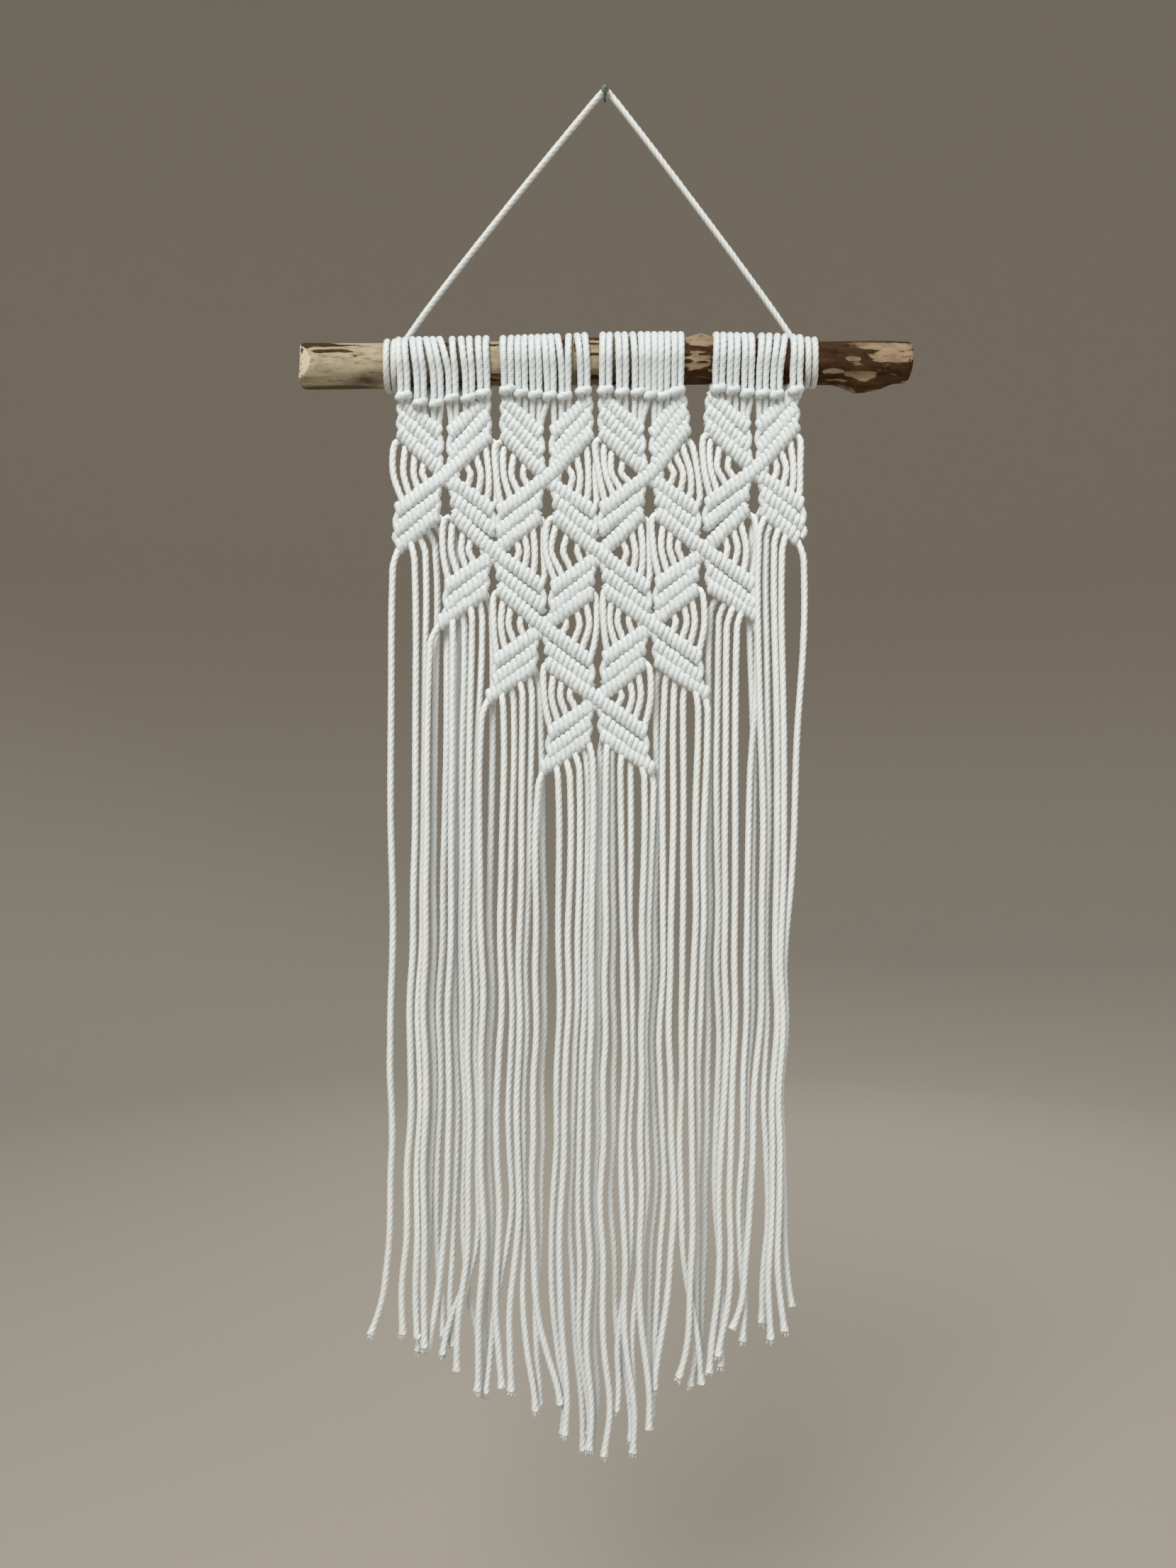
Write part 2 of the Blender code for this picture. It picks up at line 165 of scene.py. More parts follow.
def path_object(name: str, paths: Iterable[Sequence[Point]]) -> Object:
    """Makes a curve object with one open polyline for each path.

    Args:
        name: the object's name.
        paths: points in millimetres, with the thickness in the curve's own radius.

    Returns:
        The curve object, linked to the scene.
    """
    curve = bpy.data.curves.new(name, "CURVE")
    curve.dimensions = "3D"
    for path in paths:
        spline = curve.splines.new("POLY")
        spline.points.add(len(path) - 1)
        for point, place in zip(spline.points, path):
            point.co = (place[0] * MM, place[1] * MM, place[2] * MM, 1.0)
            point.radius = place[3] if len(place) > 3 else 1.0
    obj = bpy.data.objects.new(name, curve)
    bpy.context.scene.collection.objects.link(obj)
    return obj


def mesh_object(name: str, shape: Shape, materials: Sequence[Material]) -> Object:
    """Makes a smooth mesh object from a bmesh.

    Args:
        name: the object's name.
        shape: the mesh in metres, which is freed.
        materials: its materials, in the order of the faces' indices.

    Returns:
        The object, linked to the scene.
    """
    mesh = bpy.data.meshes.new(name)
    shape.to_mesh(mesh)
    shape.free()
    mesh.shade_smooth()
    obj = bpy.data.objects.new(name, mesh)
    bpy.context.scene.collection.objects.link(obj)
    for made in materials:
        mesh.materials.append(made)
    return obj


def lathe(
    outline: Sequence[tuple[float, float]], sides: int, place: Callable[[float, float, float], Point]
) -> Shape:
    """Turns an outline round an axis.

    Args:
        outline: the radius and the distance along the axis at each corner. A radius of 0 is one point.
        sides: how many points a ring has.
        place: gives a point in millimetres from a radius, a distance along the axis and an angle.

    Returns:
        The mesh in metres.
    """
    shape = bmesh.new()
    rings = []
    for radius, along in outline:
        angles = [FULL_TURN * i / sides for i in range(sides if radius > 0.0 else 1)]
        points = [place(radius, along, angle) for angle in angles]
        rings.append([shape.verts.new([value * MM for value in point]) for point in points])
    for near, far in zip(rings, rings[1:]):
        for i in range(sides):
            j = (i + 1) % sides
            loop = [near[i % len(near)], far[i % len(far)], far[j % len(far)], near[j % len(near)]]
            shape.faces.new(list(dict.fromkeys(loop)))
    return shape


def settle_piece(obj: Object, slot: Slot, node: str) -> Object:
    """Rides a finished piece on the part, hides the solid that it stands for and logs its faces.

    Args:
        obj: the piece.
        slot: its material slot; not used.
        node: the solid that it stands for.

    Returns:
        The piece.
    """
    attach(obj, ROOT)
    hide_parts(node)
    LOG.info("%s: %d faces", obj.name, len(obj.data.polygons))
    return obj


class Graph:
    """A node tree under construction, with short calls for the nodes that repeat."""

    def __init__(self, tree: Tree) -> None:
        """Keeps the tree that the nodes go into."""
        self.tree = tree

    def put(self, socket: Socket, value: Value) -> None:
        """Feeds an input.

        Args:
            socket: the input.
            value: the output that it is linked to, or a plain value.
        """
        if isinstance(value, Socket):
            self.tree.links.new(value, socket)
        else:
            socket.default_value = value

    def add(self, kind: str, inputs: Optional[dict] = None, **settings: object) -> Node:
        """Adds one node.

        Args:
            kind: the node's type name.
            inputs: values or sockets for its inputs, by name or by number.
            **settings: properties of the node itself, set first.

        Returns:
            The node.
        """
        node = self.tree.nodes.new(kind)
        for key, value in settings.items():
            setattr(node, key, value)
        for key, value in (inputs or {}).items():
            self.put(node.inputs[key], value)
        return node

    def math(self, operation: str, *values: Value) -> Socket:
        """Adds a Math node of these values and returns its output."""
        return self.add("ShaderNodeMath", dict(enumerate(values)), operation=operation).outputs[0]

    def times(self, first: Value, second: Value) -> Socket:
        """Adds a Math node that multiplies two values."""
        return self.math("MULTIPLY", first, second)

    def times_add(self, first: Value, second: Value, third: Value) -> Socket:
        """Adds a Math node that multiplies the first two values and adds the third."""
        return self.math("MULTIPLY_ADD", first, second, third)

    def vector(self, operation: str, *values: Value) -> Socket:
        """Adds a Vector Math node of these vectors and returns its vector output."""
        return self.add("ShaderNodeVectorMath", dict(enumerate(values)), operation=operation).outputs[0]

    def scaled(self, first: Value, factor: Value) -> Socket:
        """Adds a Vector Math node that scales a vector by a number."""
        return self.add("ShaderNodeVectorMath", {0: first, "Scale": factor}, operation="SCALE").outputs[0]

    def signed_power(self, value: Socket, power: Value) -> Socket:
        """Adds nodes that raise a number between -1 and 1 to a power and keep its sign."""
        size = self.math("POWER", self.math("ABSOLUTE", value), power)
        return self.times(size, self.math("SIGN", value))

    def step(self, value: Socket, low: float, high: float) -> Socket:
        """Adds an even step from 0 at the low value to 1 at the high one."""
        inputs = {"Value": value, "From Min": low, "From Max": high}
        return self.add("ShaderNodeMapRange", inputs).outputs[0]

    def place(self) -> Socket:
        """Adds the Object coordinates, in metres."""
        return self.add("ShaderNodeTexCoord").outputs["Object"]

    def attribute(self, name: str, output: str = "Fac") -> Socket:
        """Adds an attribute of the mesh, as a number or as a vector."""
        return self.add("ShaderNodeAttribute", attribute_name=name).outputs[output]

    def noise(self, place: Socket, scale: float, detail: float, **inputs: float) -> Socket:
        """Adds a noise in space and returns its value."""
        given = {"Vector": place, "Scale": scale, "Detail": detail, **inputs}
        return self.add("ShaderNodeTexNoise", given).outputs["Fac"]

    def ramp(self, value: Socket, stops: Sequence[tuple[float, Colour]]) -> Socket:
        """Adds a Color Ramp.

        Args:
            value: the number that it reads.
            stops: its places and their colours, in order.

        Returns:
            The colour.
        """
        node = self.add("ShaderNodeValToRGB", {0: value})
        elements = node.color_ramp.elements
        while len(elements) < len(stops):
            elements.new(0.5)
        for element, (place, colour) in zip(elements, stops):
            element.position = place
            element.color = (*colour, 1.0)
        return node.outputs[0]

    def mix(self, factor: Socket, first: Socket, second: Union[Socket, Colour]) -> Socket:
        """Adds a colour Mix node.

        Args:
            factor: the second colour's share.
            first: the first colour's output.
            second: the second colour's output, or a plain colour.

        Returns:
            The mixed colour.
        """
        node = self.add("ShaderNodeMix", data_type="RGBA")
        plain = (*second, 1.0) if isinstance(second, tuple) else second
        for key, value in ((0, factor), (6, first), (7, plain)):
            self.put(node.inputs[key], value)
        return node.outputs[2]

    def bump(self, shader: Node, height: Socket, strength: float, distance: float) -> None:
        """Adds a Bump node, its distance in millimetres, in front of a shader's normal."""
        inputs = {"Height": height, "Strength": strength, "Distance": distance * MM}
        self.put(shader.inputs["Normal"], self.add("ShaderNodeBump", inputs).outputs[0])


# ---- Geometry Nodes


PLIES = 3
# How fast the fibres' pattern and the ropes' unevenness run along a rope, to the metre.
FIBRE_RATE = 500.0
SWELL_RATE = 90.0
FLARE_POWER = 1.6
# How fast the wraps' unevenness runs, to the turn, how far in a bar's last wraps are drawn, and how much
# thinner a wrap's rope gets where it stands further out.
WRAP_RATE = 1.1
END_WRAP_SHARE = 0.8
WRAP_THINNING = -0.8


def new_tree(name: str, floats: Sequence[str], integers: Sequence[str]) -> Graph:
    """Starts a Geometry Nodes tree that takes a path, numbers and a material, and gives a mesh.

    Args:
        name: the tree's name.
        floats: names of the inputs that are plain numbers.
        integers: names of the inputs that are whole numbers.

    Returns:
        The tree, with its interface made.
    """
    tree = bpy.data.node_groups.new(name, "GeometryNodeTree")
    sockets = [("Path", "Geometry"), *((title, "Float") for title in floats)]
    sockets += [*((title, "Int") for title in integers), ("Material", "Material")]
    for title, kind in sockets:
        tree.interface.new_socket(name=title, in_out="INPUT", socket_type=f"NodeSocket{kind}")
    tree.interface.new_socket(name="Mesh", in_out="OUTPUT", socket_type="NodeSocketGeometry")
    return Graph(tree)


def stored(graph: Graph, geometry: Socket, name: str, value: Socket, kind: str = "FLOAT") -> Socket:
    """Adds a node that stores a value on a geometry's points under this name."""
    inputs = {"Geometry": geometry, "Name": name, "Value": value}
    return graph.add("GeometryNodeStoreNamedAttribute", inputs, data_type=kind, domain="POINT").outputs[0]


def ply_profile(graph: Graph, given: Node) -> Socket:
    """Adds the section of a three-ply rope: a round of unit radius with three soft lobes.

    Args:
        graph: the tree.
        given: its group input, with Sides and Ply Depth.

    Returns:
        The profile curve, which carries the lobes' valleys and the way round as attributes.
    """
    ring = graph.add(
        "GeometryNodeCurvePrimitiveCircle", {"Resolution": given.outputs["Sides"], "Radius": 1.0}
    )
    share = graph.add("GeometryNodeSplineParameter").outputs["Factor"]
    lobes = graph.math("COSINE", graph.times(share, PLIES * FULL_TURN))
    valley = graph.times_add(lobes, -0.5, 0.5)
    shrink = graph.math("SUBTRACT", 1.0, graph.times(valley, given.outputs["Ply Depth"]))
    place = graph.add("GeometryNodeInputPosition").outputs[0]
    shaped = graph.add(
        "GeometryNodeSetPosition",
        {"Geometry": ring.outputs["Curve"], "Position": graph.scaled(place, shrink)},
    )
    marked = stored(graph, shaped.outputs[0], "around", place, "FLOAT_VECTOR")
    return stored(graph, marked, "valley", valley)


def random_for_strand(graph: Graph, high: float, seed: Socket) -> Socket:
    """Adds a random number that is the same all along one strand.

    Args:
        graph: the tree.
        high: the greatest value. The least is 0.
        seed: the seed.

    Returns:
        The number.
    """
    index = graph.add("GeometryNodeInputIndex").outputs[0]
    own = graph.add("GeometryNodeFieldOnDomain", {0: index}, domain="CURVE")
    drawn = graph.add("FunctionNodeRandomValue", {2: 0.0, 3: high, "ID": own.outputs[0], "Seed": seed})
    return drawn.outputs[1]


def swelling(graph: Graph, given: Node, place: Socket) -> Socket:
    """Adds a relative thickness that wanders about 1.

    Args:
        graph: the tree.
        given: its group input, with Unevenness.
        place: how far along the wandering is.

    Returns:
        The thickness.
    """
    inputs = {"W": place, "Scale": 1.0, "Detail": 1.0}
    wander = graph.add("ShaderNodeTexNoise", inputs, noise_dimensions="1D")
    centred = graph.math("SUBTRACT", wander.outputs["Fac"], 0.5)
    return graph.times_add(centred, given.outputs["Unevenness"], 1.0)


def rope_end(graph: Graph, given: Node, path: Socket, radius: Socket) -> None:
    """Adds the nodes that lay a twisted rope along a path, and the tree's output.

    Args:
        graph: the tree.
        given: its group input, with Lay, Sides, Ply Depth, Seed and Material.
        path: the curve that the rope follows, already resampled.
        radius: the rope's radius along it.
    """
    along = graph.add("GeometryNodeSplineParameter").outputs["Length"]
    start = random_for_strand(graph, FULL_TURN, given.outputs["Seed"])
    turns = graph.math("DIVIDE", along, given.outputs["Lay"])
    tilt = graph.times_add(turns, FULL_TURN, start)
    tilted = graph.add("GeometryNodeSetCurveTilt", {"Curve": path, "Tilt": tilt})
    measured = stored(graph, tilted.outputs[0], "along", graph.times_add(along, FIBRE_RATE, start))
    inputs = {"Curve": measured, "Profile Curve": ply_profile(graph, given), "Scale": radius}
    rope = graph.add("GeometryNodeCurveToMesh", {**inputs, "Fill Caps": True})
    smoothed = graph.add("GeometryNodeSetShadeSmooth", {"Geometry": rope.outputs[0]})
    real = graph.add("GeometryNodeRealizeInstances", {"Geometry": smoothed.outputs[0]})
    inputs = {"Geometry": real.outputs[0], "Material": given.outputs["Material"]}
    dressed = graph.add("GeometryNodeSetMaterial", inputs)
    graph.add("NodeGroupOutput", {0: dressed.outputs[0]})


def rope_tree() -> Tree:
    """Builds the tree that turns paths into three-ply rope with a flared end.

    Returns:
        The tree. Lengths are in metres.
    """
    floats = ("Radius", "Lay", "Step", "Ply Depth", "Flare", "Flare Length", "Unevenness")
    graph = new_tree("rope_on_path", floats, ("Sides", "Seed"))
    given = graph.add("NodeGroupInput")
    even = graph.add(
        "GeometryNodeResampleCurve",
        {"Curve": given.outputs["Path"], "Length": given.outputs["Step"]},
        mode="LENGTH",
    )
    along = graph.add("GeometryNodeSplineParameter").outputs["Length"]
    whole = graph.add("GeometryNodeSplineLength").outputs["Length"]
    left = graph.math("SUBTRACT", whole, along)
    nearness = graph.math("SUBTRACT", 1.0, graph.math("DIVIDE", left, given.outputs["Flare Length"]))
    eased = graph.math("POWER", graph.math("MAXIMUM", nearness, 0.0), FLARE_POWER)
    flared = graph.times_add(eased, given.outputs["Flare"], 1.0)
    offset = random_for_strand(graph, 90.0, given.outputs["Seed"])
    swell = swelling(graph, given, graph.times_add(along, SWELL_RATE, offset))
    swell = graph.times(swell, graph.add("GeometryNodeInputRadius").outputs[0])
    radius = graph.times(graph.times(given.outputs["Radius"], flared), swell)
    rope_end(graph, given, even.outputs[0], radius)
    return graph.tree


def wrap_tree() -> Tree:
    """Builds the tree that winds a rope round each bar's axis, in whole turns from its back.

    Returns:
        The tree. Lengths are in metres, and Hand is 1 for right-handed wraps or -1 for left-handed.
    """
    sizes = ("Radius", "Coil Half Width", "Coil Half Depth", "Pitch", "End Length", "Lay")
    shares = ("Squareness", "Lean", "Turn Steps", "Hand", "Unevenness", "Ply Depth")
    graph = new_tree("wraps_on_bar", sizes + shares, ("Sides", "Seed"))
    given = graph.add("NodeGroupInput")
    hand = given.outputs["Hand"]
    step = graph.math("DIVIDE", given.outputs["Pitch"], given.outputs["Turn Steps"])
    inputs = {"Curve": given.outputs["Path"], "Length": step}
    axis = graph.add("GeometryNodeResampleCurve", inputs, mode="LENGTH")
    along = graph.add("GeometryNodeSplineParameter").outputs["Length"]
    whole = graph.add("GeometryNodeSplineLength").outputs["Length"]
    count = graph.math("ROUND", graph.math("DIVIDE", whole, given.outputs["Pitch"]))
    turns = graph.times(graph.math("DIVIDE", along, whole), count)
    offset = random_for_strand(graph, 400.0, given.outputs["Seed"])
    wound = graph.times(graph.times(turns, FULL_TURN), hand)
    angle = graph.math("SUBTRACT", wound, math.pi / 2)
    swell = swelling(graph, given, graph.times_add(turns, WRAP_RATE, offset))
    to_end = graph.math("MINIMUM", along, graph.math("SUBTRACT", whole, along))
    inputs = {"Value": to_end, "From Max": given.outputs["End Length"]}
    inputs |= {"To Min": END_WRAP_SHARE, "To Max": 1.0}
    rounding = graph.add("ShaderNodeMapRange", inputs, interpolation_type="SMOOTHSTEP").outputs[0]
    reach = graph.times(swell, rounding)
    wide = graph.signed_power(graph.math("COSINE", angle), given.outputs["Squareness"])
    deep = graph.signed_power(graph.math("SINE", angle), given.outputs["Squareness"])
    across = graph.times(graph.times(reach, given.outputs["Coil Half Width"]), wide)
    ahead = graph.times(graph.times(reach, given.outputs["Coil Half Depth"]), deep)
    leaning = graph.times(across, graph.times(given.outputs["Lean"], hand))
    tangent = graph.add("GeometryNodeInputTangent").outputs[0]
    front = (0.0, -1.0, 0.0)
    upward = graph.vector("NORMALIZE", graph.vector("CROSS_PRODUCT", front, tangent))
    turned = graph.vector("ADD", graph.scaled(upward, across), graph.scaled(front, ahead))
    offset_by = graph.vector("ADD", turned, graph.scaled(tangent, leaning))
    coil = graph.add("GeometryNodeSetPosition", {"Geometry": axis.outputs[0], "Offset": offset_by})
    fuller = graph.times_add(graph.math("SUBTRACT", swell, 1.0), WRAP_THINNING, 1.0)
    rope_end(graph, given, coil.outputs[0], graph.times(given.outputs["Radius"], fuller))
    return graph.tree


def grown(obj: Object, tree: Tree, values: dict[str, object]) -> Object:
    """Runs a tree on a path object and keeps the result as a plain mesh.

    Args:
        obj: the curve object, which is removed.
        tree: the Geometry Nodes tree.
        values: the tree's inputs by name.

    Returns:
        A mesh object of the same name.
    """
    modifier = obj.modifiers.new(tree.name, "NODES")
    modifier.node_group = tree
    for item in tree.interface.items_tree:
        if item.item_type == "SOCKET" and item.in_out == "INPUT" and item.name in values:
            modifier[item.identifier] = values[item.name]
    bpy.context.view_layer.update()
    evaluated = obj.evaluated_get(bpy.context.evaluated_depsgraph_get())
    mesh = bpy.data.meshes.new_from_object(evaluated)
    name = obj.name
    curve = obj.data
    bpy.data.objects.remove(obj, do_unlink=True)
    bpy.data.curves.remove(curve)
    made = bpy.data.objects.new(name, mesh)
    mesh.name = name
    bpy.context.scene.collection.objects.link(made)
    return made


# ---- finishes


def new_material(name: str) -> tuple[Material, Graph, Node]:
    """Starts a node material.

    Args:
        name: the material's name.

    Returns:
        The material, its graph and its Principled shader.
    """
    made = bpy.data.materials.new(name)
    made.use_nodes = True
    graph = Graph(made.node_tree)
    return made, graph, made.node_tree.nodes["Principled BSDF"]


@dataclass(frozen=True)
class CottonFinish:
    """Spun cotton: off-white plies with painted shade in the valleys between them, fine fibres and a little
    sheen.
    """

    name: str
    light: Colour
    shade: Colour
    ply_shade: float = 0.55
    ply_power: float = 1.5
    fibre_scale: float = 3.2
    fibre_shade: float = 0.35
    fibre_bump: float = 0.45
    patch_scale: float = 38.0
    patch_shade: float = 0.3

    def material(self) -> Material:
        """Builds the material, which reads the ropes' own attributes.

        Returns:
            The material.
        """
        made, graph, shader = new_material(self.name)
        lift = graph.add("ShaderNodeCombineXYZ", {"Z": graph.attribute("along")}).outputs[0]
        around = graph.vector("MULTIPLY", graph.attribute("around", "Vector"), (2.4, 2.4, 0.0))
        fibre_place = graph.vector("ADD", around, lift)
        fibres = graph.noise(fibre_place, self.fibre_scale, 4.0, Roughness=0.65, Distortion=0.4)
        patches = graph.noise(graph.place(), self.patch_scale, 2.0)
        # Painted shade: the valleys between the plies are darkened towards the shade colour; the fibre and
        # patch noise add the cord's own uneven tone.
        depth = graph.math("POWER", graph.attribute("valley"), self.ply_power)
        dark = graph.times_add(depth, self.ply_shade, graph.times(fibres, self.fibre_shade))
        tone = graph.math("ADD", dark, graph.times_add(patches, self.patch_shade, -0.2))
        graph.put(shader.inputs["Base Color"], graph.ramp(tone, [(0.0, self.light), (1.0, self.shade)]))
        shader.inputs["Roughness"].default_value = 0.92
        shader.inputs["Specular IOR Level"].default_value = 0.25
        shader.inputs["Sheen Weight"].default_value = 0.6
        shader.inputs["Sheen Roughness"].default_value = 0.55
        graph.bump(shader, fibres, self.fibre_bump, 0.4)
        return made


@dataclass(frozen=True)
class WoodFinish:
    """A stick with its bark partly peeled: the mesh's attributes say where its bark, its stains and its
    painted shade are.
    """

    name: str
    pale: Colour = (0.66, 0.60, 0.47)
    cream: Colour = (0.43, 0.37, 0.255)
    grey: Colour = (0.30, 0.26, 0.18)
    tan: Colour = (0.40, 0.25, 0.14)
    stain_and_shade: Colour = (0.10, 0.082, 0.048)
    inner_bark: Colour = (0.25, 0.15, 0.075)
    bark: Colour = (0.078, 0.036, 0.012)
    deep_bark: Colour = (0.026, 0.012, 0.004)
    edge_raggedness: float = 3.4
    tan_share: float = 0.5
    tan_start: float = -0.02
    tan_end: float = 0.05

    @staticmethod
    def grain(graph: Graph, place: Socket, sizes: Point, detail: float, roughness: float) -> Socket:
        """Adds a noise of these sizes in millimetres along, across and up the branch."""
        drawn = graph.vector("MULTIPLY", place, tuple(1.0 / (size * MM) for size in sizes))
        return graph.noise(drawn, 1.0, detail, Roughness=roughness)

    def material(self) -> Material:
        """Builds the material on Object coordinates, the bark attribute and the attribute of stains and
        painted shade.

        Returns:
            The material.
        """
        made, graph, shader = new_material(self.name)
        place = graph.place()
        grain = self.grain(graph, place, (11.0, 1.6, 1.6), 5.0, 0.6)
        mottle = self.grain(graph, place, (12.0, 6.0, 6.0), 4.0, 0.65)
        ragged = self.grain(graph, place, (9.0, 2.6, 2.6), 6.0, 0.7)
        stain_and_shade_mask = graph.attribute("stain_and_shade")
        wave = graph.times_add(ragged, self.edge_raggedness, -0.5 * self.edge_raggedness)
        edge = graph.math("ADD", graph.attribute("bark"), wave)
        barked = graph.step(edge, 0.46, 0.56)
        reddened = graph.step(edge, 0.12, 0.5)
        tone = graph.times_add(grain, 0.35, graph.times(mottle, 0.75))
        bare = graph.ramp(tone, [(0.40, self.grey), (0.58, self.cream), (1.0, self.pale)])
        along = graph.add("ShaderNodeSeparateXYZ", {0: place}).outputs["X"]
        tanned = graph.times(graph.step(along, self.tan_start, self.tan_end), self.tan_share)
        bare = graph.mix(tanned, bare, self.tan)
        # The dark stain colour paints real stains and painted shade alike: the shade of the heads' ropes on
        # the wood, and the shade along the left end's underside.
        stain_and_shade_amount = graph.times_add(mottle, 1.6, graph.math("SUBTRACT", stain_and_shade_mask, 0.8))
        bare = graph.mix(graph.step(stain_and_shade_amount, 0.15, 0.85), bare, self.stain_and_shade)
        cut = graph.step(graph.times(stain_and_shade_mask, -1.0), 0.2, 0.8)
        bare = graph.mix(cut, bare, self.pale)
        bare = graph.mix(reddened, bare, self.inner_bark)
        skin = graph.ramp(tone, [(0.42, self.deep_bark), (0.66, self.bark)])
        graph.put(shader.inputs["Base Color"], graph.mix(barked, bare, skin))
        shader.inputs["Specular IOR Level"].default_value = 0.12
        shader.inputs["Roughness"].default_value = 0.7
        relief = graph.times_add(grain, 0.35, graph.times_add(ragged, 0.3, barked))
        graph.bump(shader, relief, 0.55, 0.6)
        return made


@dataclass(frozen=True)
class SawnFinish:
    """The branch's sawn ends: pale wood with rings round the heart and fine saw marks."""

    name: str
    light: Colour = (0.62, 0.54, 0.40)
    ring: Colour = (0.47, 0.37, 0.24)
    ring_rate: float = 3600.0
    ring_wobble: float = 9.0

    def material(self) -> Material:
        """Builds the material, its rings centred on the branch's axis.

        Returns:
            The material.
        """
        made, graph, shader = new_material(self.name)
        place = graph.place()
        centre = (0.0, BRANCH_Y * MM, BRANCH_Z * MM)
        flat = graph.vector("MULTIPLY", graph.vector("SUBTRACT", place, centre), (0.0, 1.0, 1.0))
        wobble = graph.noise(place, 90.0, 2.0)
        away = graph.add("ShaderNodeVectorMath", {0: flat}, operation="LENGTH").outputs["Value"]
        phase = graph.times_add(away, self.ring_rate, graph.times(wobble, self.ring_wobble))
        rings = graph.math("SINE", phase)
        tone = graph.times_add(rings, 0.3, graph.times_add(wobble, 0.5, 0.2))
        graph.put(shader.inputs["Base Color"], graph.ramp(tone, [(0.1, self.light), (0.9, self.ring)]))
        shader.inputs["Roughness"].default_value = 0.75
        graph.bump(shader, tone, 0.4, 0.4)
        return made


@dataclass(frozen=True)
class SteelFinish:
    """Dull galvanised steel, mottled and a little scratched."""

    name: str
    dark: Colour = (0.10, 0.115, 0.10)
    light: Colour = (0.30, 0.33, 0.30)
    mottle_scale: float = 900.0

    def material(self) -> Material:
        """Builds the material on Object coordinates.

        Returns:
            The material.
        """
        made, graph, shader = new_material(self.name)
        mottle = graph.noise(graph.place(), self.mottle_scale, 3.0)
        graph.put(shader.inputs["Base Color"], graph.ramp(mottle, [(0.35, self.dark), (0.65, self.light)]))
        rough = graph.add("ShaderNodeMapRange", {"Value": mottle, "To Min": 0.35, "To Max": 0.6})
        graph.put(shader.inputs["Roughness"], rough.outputs[0])
        shader.inputs["Metallic"].default_value = 0.85
        graph.bump(shader, mottle, 0.3, 0.2)
        return made


@dataclass(frozen=True)
class FloorFinish:
    """Plain pale studio floor, which darkens softly where it sweeps up far away."""

    name: str
    floor: Colour = (0.44, 0.40, 0.34)
    far: Colour = (0.34, 0.30, 0.24)
    fade_height: float = 1300.0

    def material(self) -> Material:
        """Builds the material, graded by height on Object coordinates.

        Returns:
            The material.
        """
        made, graph, shader = new_material(self.name)
        height = graph.add("ShaderNodeSeparateXYZ", {0: graph.place()}).outputs["Z"]
        ends = {"From Min": FLOOR_Z * MM, "From Max": (FLOOR_Z + self.fade_height) * MM}
        share = graph.add("ShaderNodeMapRange", {"Value": height, **ends}, interpolation_type="SMOOTHSTEP")
        colour = graph.ramp(share.outputs[0], [(0.0, self.floor), (1.0, self.far)])
        graph.put(shader.inputs["Base Color"], colour)
        shader.inputs["Roughness"].default_value = 0.95
        return made


# ---- ropes


@dataclass
class Rope:
    """How a three-ply rope is drawn: sizes in millimetres."""

    tree: Tree
    material: Material
    radius: float
    lay: float = 12.6
    step: float = 1.3
    sides: int = 12
    ply_depth: float = 0.11
    flare: float = 0.0
    flare_length: float = 7.0
    unevenness: float = 0.12

    def lay_out(self, name: str, paths: Iterable[Sequence[Point]], seed: int) -> Object:
        """Lays one rope along each path.

        Args:
            name: the piece's name.
            paths: points in millimetres.
            seed: seed of the ropes' twist and unevenness.

        Returns:
            The mesh object.
        """
        values = {
            "Radius": self.radius * MM,
            "Lay": self.lay * MM,
            "Step": self.step * MM,
            "Sides": self.sides,
            "Ply Depth": self.ply_depth,
            "Flare": self.flare,
            "Flare Length": self.flare_length * MM,
            "Unevenness": self.unevenness,
            "Seed": seed,
            "Material": self.material,
        }
        return grown(path_object(name, paths), self.tree, values)


# ---- ropes round the branch


class Station(NamedTuple):
    """The branch's thickness and how far its middle stands above BRANCH_Z at one place along it."""

    x: float
    radius_share: float
    lift: float


BRANCH_STATIONS = (
    Station(-184.2, 0.925, -0.1),
    Station(-183.4, 0.945, -0.1),
    Station(-160.0, 0.950, -0.1),
    Station(-136.0, 0.935, 0.0),
    Station(-100.0, 0.925, 0.7),
    Station(-66.0, 0.910, 1.5),
    Station(-30.0, 0.930, 2.2),
    Station(-5.0, 0.955, 2.9),
    Station(25.0, 0.955, 3.2),
    Station(55.0, 0.950, 3.2),
    Station(95.0, 0.915, 3.0),
    Station(131.0, 0.880, 2.0),
    Station(150.0, 0.890, 1.9),
    Station(170.0, 0.870, 2.3),
    Station(181.0, 0.835, 2.4),
    Station(184.0, 0.805, 2.5),
    Station(184.8, 0.770, 2.5),
)


def branch_station(x: float) -> tuple[float, float]:
    """Finds the branch's size at a place along it.

    Args:
        x: the place.

    Returns:
        Its radius and how far its middle is lifted there.
    """
    last = BRANCH_STATIONS[-1]
    for first, second in zip(BRANCH_STATIONS, BRANCH_STATIONS[1:]):
        if x <= second.x:
            share = smooth((x - first.x) / (second.x - first.x))
            radius = between(first.radius_share, second.radius_share, share)
            return radius * BRANCH_RADIUS, between(first.lift, second.lift, share)
    return last.radius_share * BRANCH_RADIUS, last.lift


def rope_on_branch(x: float, angle: float, stand: float) -> Point:
    """Finds the middle of a rope pressed on the branch.

    Args:
        x: its place along the branch.
        angle: in radians from the back, upwards positive.
        stand: how far it stands above the branch's surface.

    Returns:
        The place.
    """
    radius, lift = branch_station(x)
    away = radius + stand
    return (x, BRANCH_Y + away * math.cos(angle), BRANCH_Z + lift + away * math.sin(angle))


# ---- hanging cord


